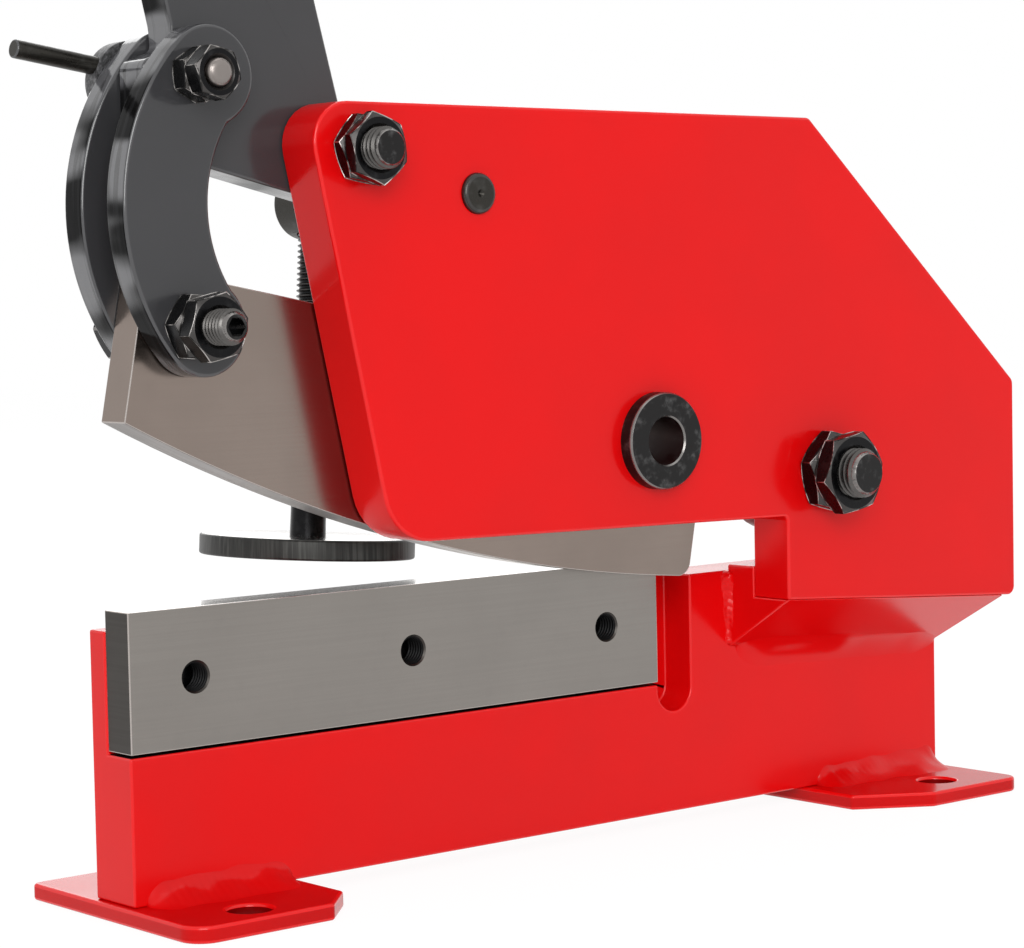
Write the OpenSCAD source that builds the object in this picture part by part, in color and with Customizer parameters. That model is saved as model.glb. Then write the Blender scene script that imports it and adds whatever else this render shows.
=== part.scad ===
// Hand lever shear for sheet metal and round bar.
// X runs from the operator's end to the rear, Y from the side plate to the bed, Z up.
// Sizes are laid out from the front end of the lower blade, the shearing plane and the floor,
// and the whole machine is then moved so that the origin is the middle of the bolt holes in the feet.

/* [Blades] */
// Length of the lower blade
lower_blade_l = 200; // [180:1:220]
// Height of the lower blade
lower_blade_h = 40; // [36:0.5:44]
// Thickness of both blades
blade_t = 12; // [10:0.5:14]
// Height of the moving blade at its front end
upper_blade_h = 43.3; // [40:0.1:48]
// Radius of the curved cutting edge
cutting_r = 558; // [500:1:620]
// Gap between the two blades
shear_gap = 0.1; // [0.05:0.05:0.3]
// Angle of the moving blade above its closed position
blade_rest = 11.1; // [9:0.1:13]
// Distance from the front end of the moving blade to its pivot
blade_reach = 257.7; // [250:0.1:265]

/* [Bed] */
// Length of the bed plate
bed_l = 334.4; // [325:0.2:345]
// Thickness of the bed plate
bed_t = 20; // [16:0.5:24]
// Height of the bed plate below the lower blade
bed_below = 43; // [35:1:55]
// Gap between the lower blade and the ledge under it
seat_gap = 0.8; // [0.2:0.1:1]
// How far the lower blade stands above the bed plate
blade_proud = 6; // [3:0.5:10]
// Width of the relief slot behind the lower blade
slot_w = 14.6; // [12:0.1:18]
// Depth of the relief slot below the lower blade
slot_drop = 10; // [8:0.5:20]

/* [Feet] */
// Thickness of the foot plates
foot_t = 5; // [4:0.5:8]
// Length of the front foot along the bed
front_foot_l = 58.5; // [50:0.5:70]
// Length of the rear foot along the bed
rear_foot_l = 68; // [55:0.5:80]
// Reach of both feet on the far side of the shearing plane
foot_far = 53; // [44:0.5:60]
// Distance of the rear bolt holes from the bed's rear end
rear_hole_in = 24.8; // [18:0.1:34]
// Spacing of the bolt holes across the bed
hole_spacing_y = 59; // [50:0.5:64]
// Diameter of the bolt holes
hole_d = 13; // [9:0.5:14]

/* [Side plate] */
// Thickness of the side plate
plate_t = 16; // [14:0.5:20]
// Gap between the side plate and the moving blade
slide_gap = 0.2; // [0.1:0.05:0.4]
// Height of the top edge above the floor
plate_top = 229.2; // [225:0.5:240]
// Distance of the rear edge from the blade's front end
plate_rear = 344; // [338:0.1:352]
// Distance of the notch from the blade's front end
notch_x = 232; // [226:0.5:240]

/* [Pivots] */
// Main pivot, distance from the blade's front end
pivot_x = 250.6; // [248:0.1:254]
// Main pivot, height above the floor
pivot_z = 114.6; // [112:0.1:118]
// Diameter of the main pivot bolt
pivot_d = 16; // [14:1:18]
// Lever pivot, distance from the blade's front end
lever_x = 63.5; // [60:0.1:66]
// Lever pivot, height above the floor
lever_z = 215.5; // [213:0.1:218]
// Diameter of the lever pivot bolt
lever_bolt_d = 12; // [10:1:14]
// Upper link joint, distance from the blade's front end
upper_x = 12.3; // [10:0.1:15]
// Upper link joint, height above the floor
upper_z = 235; // [232:0.1:238]
// Diameter of the upper link bolt
upper_bolt_d = 8; // [8:1:10]
// Lower link joint, distance from the blade's front end
lower_x = 10.3; // [8:0.1:13]
// Lower link joint, height above the floor
lower_z = 166.8; // [164:0.1:169]
// Diameter of the lower link bolt
lower_bolt_d = 10; // [8:1:12]

/* [Links] */
// Thickness of each crescent link
link_t = 9; // [8:0.5:10]
// Radius of the outer edge of the crescent
link_outer_r = 64.4; // [62:0.1:68]
// Radius of the inner edge of the crescent
link_inner_r = 40.8; // [38:0.1:43]
// Radius of the rounded upper end
link_top_r = 13.9; // [13:0.1:15]
// Radius of the rounded lower end
link_bottom_r = 13.5; // [12.5:0.1:14.5]

/* [Lever] */
// Radius of the lever plate round its pivot
heel_r = 14.2; // [13:0.1:16]
// Reach of the lever's nose in front of the upper link bolt
nose_reach = 10.3; // [9.5:0.1:14]
// Forward lean of the lever at rest
lever_lean = 14.2; // [12:0.1:17]
// Width of the lever plate below its shoulders
lever_w = 49; // [46:0.5:54]
// Length of the tongue inside the handle tube
tongue_l = 88; // [70:1:100]
// Length of the handle tube
tube_l = 330; // [250:5:500]
// Outer diameter of the handle tube
tube_d = 34; // [30:0.5:36]
// Wall of the handle tube
tube_wall = 2.9; // [2:0.1:4]
// Length of the hand grip
grip_l = 125; // [100:1:150]
// Diameter of the hand grip
grip_d = 41; // [38:0.5:45]

/* [Bar cutter] */
// Bar bush, distance from the blade's front end
bush_x = 174.9; // [170:0.1:180]
// Bar bush, height above the floor
bush_z = 128.3; // [125:0.1:132]
// Diameter of the bar bore
bar_bore_d = 14.8; // [12:0.1:16]
// Diameter of the bush's rim
bush_rim_d = 30; // [28:0.5:32]

/* [Hold-down] */
// Hold-down bar, distance from the blade's front end
bar_x = 105.4; // [102:0.1:110]
// Hold-down bar, height above the floor
bar_z = 203.6; // [200:0.1:206]
// Diameter of the hold-down bar
bar_d = 22; // [20:0.5:24]
// End of the hold-down bar beyond the shearing plane
bar_end = 59.5; // [56:0.5:66]
// Distance of the screw from the shearing plane
screw_y = 50.5; // [47:0.5:52]
// Diameter of the hold-down screw
screw_d = 12; // [10:1:12]
// Tilt of the hold-down screw towards the front
screw_tilt = 3.85; // [0:0.05:6]
// Diameter of the round hold-down foot
press_d = 67.4; // [60:0.2:70]
// Thickness of the round hold-down foot
press_t = 6.4; // [5:0.1:8]
// Distance along the screw from the bar's axis to the middle of the foot
press_drop = 106.8; // [100:0.1:109]

/* [Clamp] */
// Diameter of the clamp collar
collar_d = 23.6; // [22:0.2:26]
// Width of the clamp collar
collar_t = 5.8; // [5.6:0.1:8]
// Diameter of the clamp rod
rod_d = 5.2; // [4:0.1:5.4]
// Reach of the clamp rod in front of the upper link bolt
rod_reach = 36.2; // [30:0.1:50]

/* [Hidden] */
$fn = 64;

// Play of a shaft that turns in its bore, and of a bolt in a plain hole, both on the radius
run_fit = 0.06;
loose_fit = 0.1;
// Play of a nut or tapped hole round its bolt
thread_fit = 0.05;
// Extra radius of the moving blade's hole for the bar
bar_play = 0.6;
// Gap between two nuts on the same bolt
nut_gap = 0.1;
// Overlap used only to cut cleanly through a face
cut = 1;
// Points in each rounded corner of an outline
corner_steps = 8;

// Heights above the floor
blade_z = foot_t + bed_below;
bed_top = blade_z + lower_blade_h - blade_proud;
// Depths: the shearing plane is y = 0, the moving blade lies on its near side
blade_far = -shear_gap;
blade_near = blade_far - blade_t;
plate_back = blade_near - slide_gap;
plate_near = plate_back - plate_t;
near_link_near = plate_back - link_t;
far_link_near = blade_far + slide_gap;
far_link_far = far_link_near + link_t;
lever_mid = (blade_near + blade_far) / 2;

// Bed and feet
bed_x = -0.4;
slot_r = slot_w / 2;
front_foot_x = -2.5;
front_foot_near = -33.5;
bed_end = bed_x + bed_l;
rear_foot_end = bed_end + 0.8;
rear_foot_x = rear_foot_end - rear_foot_l;
rear_foot_near = -37.5;
front_foot_cut = 12;
rear_foot_cut_x = 24;
rear_foot_cut_y = 15.5;
hole_x = 23.2;
hole_y = -22;
rear_hole_x = bed_end - rear_hole_in;
origin_x = (hole_x + rear_hole_x) / 2;
origin_y = hole_y + hole_spacing_y / 2;

// Side plate outline: height of each corner above the floor
notch_top = 101;
notch_bottom = 74;
bottom_front_x = 72;
bottom_front_z = 103.6;
rear_bottom_z = 66.5;
rear_top_z = 141.3;
top_rear_x = 244.3;
front_top_x = 44.2;

// Block under the side plate
block_top = bed_top + 2;
block_rise = 17.5;
block_foot_z = notch_bottom - block_rise;
block_flare = 4.4;
block_rear = bed_end + block_flare;
under_slope = block_rise / -plate_near;
under_tilt = atan((notch_bottom - rear_bottom_z) / (plate_rear - notch_x));

// Welds
foot_weld = 7.5;
seam_weld = 4;
notch_weld = 6;

// Screws of the lower blade
blade_screw_d = 8;
blade_screw_x = [22, 100, 178];
blade_screw_z = blade_z + lower_blade_h / 2;
blade_hole_d = 8.6;
blade_hole_rim = 0.5;
screw_tip_y = 7;

// Hexagon sizes across flats and thicknesses
hex_m8 = 13;
hex_m10 = 17;
hex_m12 = 18;
hex_m16 = 24;
head_m8 = 5.3;
head_m10 = 6.4;
head_m12 = 7.5;
head_m16 = 10;
pivot_nut_t = 6.3;
lever_nut_t = 4.4;
lower_nut_t = 6.4;
upper_nut_t = 6.3;
pivot_end = -46.7;
lever_end = -42.2;
lower_end = -42;
upper_end = -35.6;
washer_t = 3;
washer_d = 30;

// Moving blade, laid out round its pivot in the closed position
upper_top = 19.9;
cutting_cx = -107.3;
cutting_rear_x = -40.7;
tang_bottom = -16;
tip_corner_z = upper_top - upper_blade_h;
cutting_corner_r = 5;
cutting_cz = tip_corner_z + sqrt(cutting_r * cutting_r - pow(blade_reach + cutting_cx, 2));
edge_steps = 24;
// Half width and half height of the clearance round the lower link bolt
link_play_x = 4.2;
link_play_z = 1.2;

// Links
link_inner = [57.2, 199.5];
link_top = [18.2, 235.4];
link_bottom = [14.5, 166.5];
link_chord = norm(link_top - link_bottom);
link_along = (pow(link_outer_r - link_bottom_r, 2) - pow(link_outer_r - link_top_r, 2)
    + link_chord * link_chord) / (2 * link_chord);
link_out = sqrt(pow(link_outer_r - link_bottom_r, 2) - link_along * link_along);
link_dir = (link_top - link_bottom) / link_chord;
link_outer = link_bottom + link_dir * link_along + [link_dir.y, -link_dir.x] * link_out;

// Lever
shoulder_z = 303;
front_edge_x = 11.5;
front_edge_z = 249.5;
nose_step_z = 243;
nose_top_z = 239.3;
rear_offset = 8.2;
heel_slope = 13.3;
lever_taper = 0.7;
shoulder_x = front_edge_x - (shoulder_z - front_edge_z) * tan(lever_lean) + lever_w / 2 / cos(lever_lean);
tube_play = 0.15;
tongue_w = 2 * sqrt(pow(tube_d / 2 - tube_wall, 2) - pow(blade_t / 2, 2)) - 2 * tube_play;
tube_rise = 14;
handle_bolt_d = 8;
handle_bolt_at = [22, 64];
grip_wall_end = 6;

// Bush, bar and screw
bush_body_d = 24;
bush_proud = 4.8;
bush_rim_cut = 1;
bar_spigot_d = 12;
bar_spigot_proud = 1.7;
screw_shank_d = 11.3;
screw_shank_l = 52;
screw_head_up = 23.5;
screw_head_t = 7.5;

// Clamp
rod_drop = 7.4;
rod_rise = 8.3;
rod_hole = 7;

function unit(v) = v / norm(v);

// Points on the arc that rounds corner b between its neighbours a and c
function corner_arc(a, b, c, r) =
    let (
        u = unit(a - b),
        w = unit(c - b),
        half = acos(u * w) / 2,
        o = b + unit(u + w) * r / sin(half),
        s = b + u * r / tan(half) - o,
        e = b + w * r / tan(half) - o,
        start = atan2(s.y, s.x),
        turn = (atan2(e.y, e.x) - start + 900) % 360 - 180
    )
    [for (i = [0:corner_steps]) o + r * [cos(start + turn * i / corner_steps), sin(start + turn * i / corner_steps)]];

// Outline from corners given as [x, y, radius]
function rounded(p) = [
    for (i = [0:len(p) - 1])
        let (
            n = len(p),
            a = p[(i + n - 1) % n],
            b = p[i],
            c = p[(i + 1) % n]
        )
        each (b.z > 0
            ? corner_arc([a.x, a.y], [b.x, b.y], [c.x, c.y], b.z)
            : [[b.x, b.y]])
];

// Points on an arc round c
function arc(c, r, from, to, steps) =
    [for (i = [0:steps]) c + r * [cos(from + (to - from) * i / steps), sin(from + (to - from) * i / steps)]];

// Moves a piece from the layout to the part's origin
module placed() {
    translate([-origin_x, -origin_y, 0])
        children();
}

// Plate in the XZ plane between two depths
module slab(outline, y0, y1) {
    translate([0, y1, 0])
        rotate([90, 0, 0])
            linear_extrude(y1 - y0)
                polygon(outline);
}

// Round piece along Y between two depths
module round_y(x, z, d, y0, y1) {
    translate([x, y1, z])
        rotate([90, 0, 0])
            cylinder(d = d, h = y1 - y0);
}

// Cone along Y, from diameter d0 at y0 to d1 at y1
module cone_y(x, z, d0, d1, y0, y1) {
    translate([x, y1, z])
        rotate([90, 0, 0])
            cylinder(d1 = d1, d2 = d0, h = y1 - y0);
}

// Bolt shank along Y with a chamfered near end
module shank_y(x, z, d, near, far, chamfer = 1) {
    round_y(x, z, d, near + chamfer, far);
    cone_y(x, z, d - 2 * chamfer, d, near, near + chamfer);
}

// Hexagon along Y with its corners chamfered at the near face, the far face or both
module hex_y(x, z, flats, y0, y1, turn = 0, near_cut = true, far_cut = true) {
    face_d = flats * 0.97;
    round_d = flats / cos(30) + 1;
    rise = (round_d - face_d) / 2 * tan(30);
    intersection() {
        translate([x, y1, z])
            rotate([90, turn, 0])
                cylinder(d = flats / cos(30), h = y1 - y0, $fn = 6);
        union() {
            round_y(x, z, round_d, y0 + (near_cut ? rise : 0), y1 - (far_cut ? rise : 0));
            if (near_cut)
                cone_y(x, z, face_d, round_d, y0, y0 + rise);
            if (far_cut)
                cone_y(x, z, round_d, face_d, y1 - rise, y1);
        }
    }
}

// Two thin nuts locked against each other, the first one against the face at depth y1
module nut_pair(x, z, flats, t, bolt_d, y1, turn_a, turn_b) {
    for (i = [0, 1])
        difference() {
            hex_y(x, z, flats, y1 - (i + 1) * t - i * nut_gap, y1 - i * (t + nut_gap), i == 0 ? turn_a : turn_b);
            round_y(x, z, bolt_d + 2 * thread_fit, y1 - 2 * t - cut, y1 + cut);
        }
}

// Fillet weld along X in the corner of two faces that meet at [y, z]
module seam_x(x0, x1, y, z, leg, side) {
    translate([x0, y, z])
        rotate([90, 0, 90])
            linear_extrude(x1 - x0)
                polygon([[0, 0], [side * leg, 0], [side * leg * 0.8, leg * 0.42],
                    [side * leg * 0.42, leg * 0.8], [0, leg]]);
}

module bed_plate() {
    color("#c8202a")
    placed()
    difference() {
        translate([bed_x, 0, foot_t])
            cube([bed_l, bed_t, bed_top - foot_t]);
        // rebate that the lower blade sits in
        translate([bed_x - cut, -cut, blade_z - seat_gap])
            cube([lower_blade_l - bed_x + cut, blade_t + cut, lower_blade_h + seat_gap]);
        // round-bottomed relief slot behind the blade
        translate([lower_blade_l, -cut, blade_z - slot_drop + slot_r])
            cube([slot_w, blade_t + cut, lower_blade_h + slot_drop]);
        round_y(lower_blade_l + slot_r, blade_z - slot_drop + slot_r, slot_w, -cut, blade_t);
        for (x = blade_screw_x)
            round_y(x, blade_screw_z, blade_screw_d + 4 * loose_fit, blade_t - cut, bed_t + cut);
    }
}

// Foot plate from its outline, with one bolt hole on each side of the bed
module foot(outline, x) {
    difference() {
        linear_extrude(foot_t)
            polygon(outline);
        for (y = [hole_y, hole_y + hole_spacing_y])
            translate([x, y, -cut])
                cylinder(d = hole_d, h = foot_t + 2 * cut);
    }
}

module front_foot() {
    end = front_foot_x + front_foot_l;
    color("#c8202a")
    placed()
    foot(rounded([
        [front_foot_x, front_foot_near, 8],
        [end - front_foot_cut, front_foot_near, 1.5],
        [end, front_foot_near + front_foot_cut, 1.5],
        [end, foot_far - front_foot_cut, 1.5],
        [end - front_foot_cut, foot_far, 1.5],
        [front_foot_x, foot_far, 2.5]
    ]), hole_x);
}

module rear_foot() {
    end = rear_foot_end;
    color("#c8202a")
    placed()
    foot(rounded([
        [rear_foot_x, rear_foot_near + rear_foot_cut_y, 1.5],
        [rear_foot_x + rear_foot_cut_x, rear_foot_near, 3],
        [end, rear_foot_near, 5],
        [end, foot_far, 2.5],
        [rear_foot_x + rear_foot_cut_x, foot_far, 3],
        [rear_foot_x, foot_far - rear_foot_cut_y, 1.5]
    ]), rear_hole_x);
}

function side_plate_outline() = rounded([
    [front_top_x, plate_top, 12],
    [top_rear_x, plate_top, 3],
    [plate_rear, rear_top_z, 3],
    [plate_rear, rear_bottom_z, 3],
    [notch_x, notch_bottom, 0],
    [notch_x, notch_top, 1.5],
    [bottom_front_x, bottom_front_z, 17]
]);

module side_plate() {
    color("#d4222c")
    placed()
    difference() {
        slab(side_plate_outline(), plate_near, plate_back);
        round_y(pivot_x, pivot_z, pivot_d + 2 * loose_fit, plate_near - cut, plate_back + cut);
        round_y(lever_x, lever_z, lever_bolt_d + 2 * loose_fit, plate_near - cut, plate_back + cut);
        round_y(bush_x, bush_z, bush_body_d + 2 * thread_fit, plate_near - cut, plate_back + cut);
        round_y(bar_x, bar_z, bar_spigot_d + 2 * run_fit, plate_near - cut, plate_back + cut);
    }
}

// Block that fills the gap between bed and side plate, its underside parallel to the side plate's bottom edge
module spacer_block() {
    color("#c41f28")
    placed()
    difference() {
        // the rear end slants from the bed out to the side plate
        linear_extrude(block_top)
            polygon([[notch_x, 0], [bed_end, 0], [block_rear, plate_near], [notch_x, plate_near]]);
        along_underside(-notch_bottom)
            linear_extrude(plate_rear)
                polygon([
                    [cut, -cut * under_slope], [plate_near - cut, (cut - plate_near) * under_slope],
                    [plate_near - cut, -notch_bottom], [cut, -notch_bottom]
                ]);
        // seat of the side plate
        translate([notch_x, 0, notch_bottom])
            rotate([0, under_tilt, 0])
                translate([-notch_bottom, plate_near - cut, 0])
                    cube([plate_rear, plate_t + cut, plate_top]);
    }
}

// Frame whose Z runs along the foot of the block, X across the machine and Y up
module along_underside(start) {
    translate([notch_x, 0, block_foot_z])
        rotate([0, under_tilt, 0])
            translate([start, 0, 0])
                rotate([90, 0, 90])
                    children();
}

module frame_welds() {
    front_end = front_foot_x + front_foot_l;
    color("#b81c26")
    placed() {
        seam_x(10, front_end - 9, 0, foot_t, foot_weld, -1);
        seam_x(10, front_end - 9, bed_t, foot_t, foot_weld, 1);
        seam_x(rear_foot_x + 6, bed_end, 0, foot_t, foot_weld, -1);
        seam_x(rear_foot_x + 6, bed_end, bed_t, foot_t, foot_weld, 1);
        // under the block
        along_underside(1)
            linear_extrude(bed_end - notch_x - 3)
                polygon([
                    [0, 0], [-seam_weld * cos(atan(under_slope)), seam_weld * sin(atan(under_slope))],
                    [-seam_weld * 0.62, -seam_weld * 0.1], [-seam_weld * 0.3, -seam_weld * 0.68], [0, -seam_weld]
                ]);
        // upright seam between the bed and the end of the block
        translate([notch_x, 0, block_foot_z + notch_weld])
            linear_extrude(bed_top - block_foot_z - notch_weld)
                polygon([[0, 0], [-notch_weld, 0], [-notch_weld * 0.3, -notch_weld * 0.3], [0, -notch_weld]]);
    }
}

module lower_blade() {
    color("#8f8780")
    placed()
    difference() {
        translate([0, 0, blade_z])
            cube([lower_blade_l, blade_t, lower_blade_h]);
        for (x = blade_screw_x) {
            round_y(x, blade_screw_z, blade_hole_d, -cut, blade_t + cut);
            cone_y(x, blade_screw_z, blade_hole_d + 2 * blade_hole_rim, blade_hole_d, 0, blade_hole_rim);
        }
    }
}

module blade_screws() {
    color("#26262a")
    placed()
    for (x = blade_screw_x) {
        shank_y(x, blade_screw_z, blade_screw_d, screw_tip_y, bed_t + 0.1);
        hex_y(x, blade_screw_z, hex_m8, bed_t, bed_t + head_m8, 0, false, true);
    }
}

module bar_bush() {
    front = plate_near - bush_proud;
    color("#232326")
    placed()
    difference() {
        union() {
            round_y(bush_x, bush_z, bush_body_d, plate_near - 0.1, plate_back);
            round_y(bush_x, bush_z, bush_rim_d, front + bush_rim_cut, plate_near);
            cone_y(bush_x, bush_z, bush_rim_d - 2 * bush_rim_cut, bush_rim_d, front, front + bush_rim_cut);
        }
        round_y(bush_x, bush_z, bar_bore_d, front - cut, plate_back + cut);
    }
}

module pivot_bolt() {
    head_y = far_link_near + washer_t;
    color("#2a2a2d")
    placed() {
        shank_y(pivot_x, pivot_z, pivot_d, pivot_end, head_y + 0.1, 1.8);
        hex_y(pivot_x, pivot_z, hex_m16, head_y, head_y + head_m16, 0, false, true);
    }
}

module pivot_nuts() {
    color("#1f1f22")
    placed()
    nut_pair(pivot_x, pivot_z, hex_m16, pivot_nut_t, pivot_d, plate_near, 15, -10);
}

module pivot_washer() {
    color("#3a3a3d")
    placed()
    difference() {
        round_y(pivot_x, pivot_z, washer_d, far_link_near, far_link_near + washer_t);
        round_y(pivot_x, pivot_z, pivot_d + 2 * loose_fit, far_link_near - cut, far_link_near + washer_t + cut);
    }
}

module lever_bolt() {
    color("#2a2a2d")
    placed() {
        shank_y(lever_x, lever_z, lever_bolt_d, lever_end, far_link_near + 0.1, 1.3);
        hex_y(lever_x, lever_z, hex_m12, far_link_near, far_link_near + head_m12, 0, false, true);
    }
}

module lever_bolt_nuts() {
    color("#1f1f22")
    placed()
    nut_pair(lever_x, lever_z, hex_m12, lever_nut_t, lever_bolt_d, plate_near, 10, 20);
}

// Outline of the moving blade round its pivot, in the closed position
function upper_blade_outline() =
    let (
        end_x = cutting_rear_x - cutting_corner_r,
        a0 = atan2(tip_corner_z - cutting_cz, -blade_reach - cutting_cx),
        a1 = -90 + asin((end_x - cutting_cx) / cutting_r),
        edge_end = [cutting_cx + cutting_r * cos(a1), cutting_cz + cutting_r * sin(a1)]
    )
    concat(
        [[-blade_reach, upper_top]],
        [for (i = [0:edge_steps])
            [cutting_cx + cutting_r * cos(a0 + (a1 - a0) * i / edge_steps),
             cutting_cz + cutting_r * sin(a0 + (a1 - a0) * i / edge_steps)]],
        [for (i = [1:corner_steps])
            [edge_end.x + cutting_corner_r * sin(90 * i / corner_steps),
             edge_end.y + cutting_corner_r * (1 - cos(90 * i / corner_steps))]],
        [[cutting_rear_x, tang_bottom]],
        arc([0, 0], upper_top, 180 - asin(tang_bottom / upper_top), 450, edge_steps)
    );

module upper_blade() {
    color("#8c847c")
    placed()
    difference() {
        translate([pivot_x, 0, pivot_z])
            rotate([0, blade_rest, 0])
                slab(upper_blade_outline(), blade_near, blade_far);
        round_y(pivot_x, pivot_z, pivot_d + 2 * run_fit, blade_near - cut, cut);
        round_y(bush_x, bush_z, bar_bore_d + 2 * bar_play, blade_near - cut, cut);
        // clearance for the lower link bolt
        for (side = [-1, 1])
            round_y(lower_x + side * (link_play_x - link_play_z), lower_z,
                lower_bolt_d + 2 * link_play_z, blade_near - cut, cut);
        translate([lower_x - link_play_x + link_play_z, blade_near - cut, lower_z - lower_bolt_d / 2 - link_play_z])
            cube([2 * (link_play_x - link_play_z), blade_t + 2 * cut, lower_bolt_d + 2 * link_play_z]);
    }
}

// Crescent link between two depths
module link(y0, y1) {
    difference() {
        union() {
            difference() {
                round_y(link_outer.x, link_outer.y, 2 * link_outer_r, y0, y1);
                round_y(link_inner.x, link_inner.y, 2 * link_inner_r, y0 - cut, y1 + cut);
                // keeps only the part between the two rounded ends
                slab([link_outer, link_outer + 4 * (link_top - link_outer), link_outer + 4 * link_outer_r * [1, 1],
                    link_outer + 4 * link_outer_r * [1, -1], link_outer + 4 * (link_bottom - link_outer)],
                    y0 - cut, y1 + cut);
            }
            round_y(link_top.x, link_top.y, 2 * link_top_r, y0, y1);
            round_y(link_bottom.x, link_bottom.y, 2 * link_bottom_r, y0, y1);
        }
        round_y(upper_x, upper_z, upper_bolt_d + 2 * loose_fit, y0 - cut, y1 + cut);
        round_y(lower_x, lower_z, lower_bolt_d + 2 * loose_fit, y0 - cut, y1 + cut);
    }
}

module near_link() {
    color("#4b4b4d")
    placed()
    link(near_link_near, plate_back);
}

module far_link() {
    color("#4b4b4d")
    placed()
    link(far_link_near, far_link_far);
}

module upper_link_bolt() {
    far = far_link_far + slide_gap + collar_t + 1.5;
    color("#b4aaa5")
    placed() {
        round_y(upper_x, upper_z, upper_bolt_d, upper_end + 1.2, far);
        cone_y(upper_x, upper_z, upper_bolt_d - 2.6, upper_bolt_d, upper_end, upper_end + 1.2);
    }
}

module upper_link_nuts() {
    color("#1f1f22")
    placed()
    nut_pair(upper_x, upper_z, hex_m8, upper_nut_t, upper_bolt_d, near_link_near, 28, 13);
}

module lower_link_bolt() {
    socket_d = 5.8;
    socket_l = 4;
    color("#3c3c40")
    placed() {
        difference() {
            shank_y(lower_x, lower_z, lower_bolt_d, lower_end, far_link_far + 0.1, 1.6);
            translate([lower_x, lower_end + socket_l, lower_z])
                rotate([90, 0, 0])
                    cylinder(d = socket_d, h = socket_l + cut, $fn = 6);
        }
        hex_y(lower_x, lower_z, hex_m10, far_link_far, far_link_far + head_m10, 0, false, true);
    }
}

module lower_link_nuts() {
    color("#232326")
    placed()
    nut_pair(lower_x, lower_z, hex_m10, lower_nut_t, lower_bolt_d, near_link_near, 5, -13);
}

// Axis of the clamp rod: a line just above the bolt, rising towards the tip
module along_rod(from, to, d) {
    mid_y = far_link_far + slide_gap + collar_t / 2;
    translate([upper_x, mid_y, upper_z + 3.2])
        rotate([0, -90 + rod_rise, 0])
            translate([0, 0, from])
                cylinder(d = d, h = to - from);
}

module clamp_collar() {
    near = far_link_far + slide_gap;
    color("#3d3d3e")
    placed()
    difference() {
        round_y(upper_x, upper_z, collar_d, near, near + collar_t);
        round_y(upper_x, upper_z, upper_bolt_d + 2 * run_fit, near - cut, near + collar_t + cut);
        along_rod(rod_hole, rod_reach, rod_d);
    }
}

module clamp_rod() {
    color("#414143")
    placed()
    along_rod(rod_hole, rod_reach, rod_d);
}

// Point of the lever plate's outline, at u across and w along the handle from the shoulders
function on_lever(u, w, r) = [
    shoulder_x + u * cos(lever_lean) - w * sin(lever_lean),
    shoulder_z + u * sin(lever_lean) + w * cos(lever_lean), r
];

// Turns a piece laid out along the handle, with its foot at the shoulder, into the lever's lean
module along_lever() {
    translate([shoulder_x, lever_mid, shoulder_z])
        rotate([0, -lever_lean, 0])
            children();
}

// Outline of the lever plate: nose round the link bolt, heel round the pivot, shoulders under the tube
function lever_outline() =
    let (
        nose_x = upper_x - nose_reach,
        heel = [lever_x, lever_z],
        rear_angle = lever_lean + lever_taper,
        rear_turn = acos(rear_offset / heel_r),
        rear = heel + rear_offset * [cos(rear_angle), sin(rear_angle)],
        rear_top_x = rear.x - (shoulder_z - rear.y) * tan(rear_angle),
        front_top_x = front_edge_x - (shoulder_z - 6 - front_edge_z) * tan(lever_lean - lever_taper),
        bottom = heel + heel_r * [-sin(heel_slope), -cos(heel_slope)]
    )
    rounded(concat(
        [[nose_x, bottom.y + (bottom.x - nose_x) * tan(heel_slope), 11]],
        [for (p = arc(heel, heel_r, 270 - heel_slope, 360 + rear_angle + rear_turn, edge_steps)) [p.x, p.y, 0]],
        [
            [rear_top_x, shoulder_z, 6], on_lever(tongue_w / 2, tube_rise - 2, 2),
            on_lever(tongue_w / 2, tongue_l, 1), on_lever(-tongue_w / 2, tongue_l, 1),
            on_lever(-tongue_w / 2, tube_rise - 2, 2), [front_top_x, shoulder_z - 6, 6],
            [front_edge_x, front_edge_z, 8], [front_edge_x + 0.4, nose_step_z, 2.5], [nose_x, nose_top_z, 3.5]
        ]
    ));

module lever_arm() {
    color("#464647")
    placed()
    difference() {
        slab(lever_outline(), blade_near, blade_far);
        round_y(lever_x, lever_z, lever_bolt_d + 2 * run_fit, blade_near - cut, cut);
        round_y(upper_x, upper_z, upper_bolt_d + 2 * run_fit, blade_near - cut, cut);
        handle_bolt_holes(blade_t);
    }
}

// Cross holes for the handle bolts
module handle_bolt_holes(l) {
    along_lever()
        for (z = handle_bolt_at)
            translate([0, l / 2 + cut, tube_rise + z])
                rotate([90, 0, 0])
                    cylinder(d = handle_bolt_d + 2 * loose_fit, h = l + 2 * cut);
}

module handle_tube() {
    color("#48484a")
    placed()
    difference() {
        along_lever()
            translate([0, 0, tube_rise])
                difference() {
                    cylinder(d = tube_d, h = tube_l);
                    translate([0, 0, -cut])
                        cylinder(d = tube_d - 2 * tube_wall, h = tube_l + 2 * cut);
                }
        handle_bolt_holes(tube_d);
    }
}

module handle_bolts() {
    color("#26262a")
    placed()
    along_lever()
        for (z = handle_bolt_at)
            translate([0, 0, tube_rise + z]) {
                shank_y(0, 0, handle_bolt_d, -tube_d / 2 - 0.1, tube_d / 2 + 10);
                hex_y(0, 0, hex_m8, -tube_d / 2 - head_m8, -tube_d / 2, 0, true, false);
            }
}

module handle_nuts() {
    color("#26262a")
    placed()
    along_lever()
        for (z = handle_bolt_at)
            translate([0, 0, tube_rise + z])
                difference() {
                    hex_y(0, 0, hex_m8, tube_d / 2, tube_d / 2 + upper_nut_t, 0);
                    round_y(0, 0, handle_bolt_d + 2 * thread_fit, 0, tube_d);
                }
}

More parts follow.
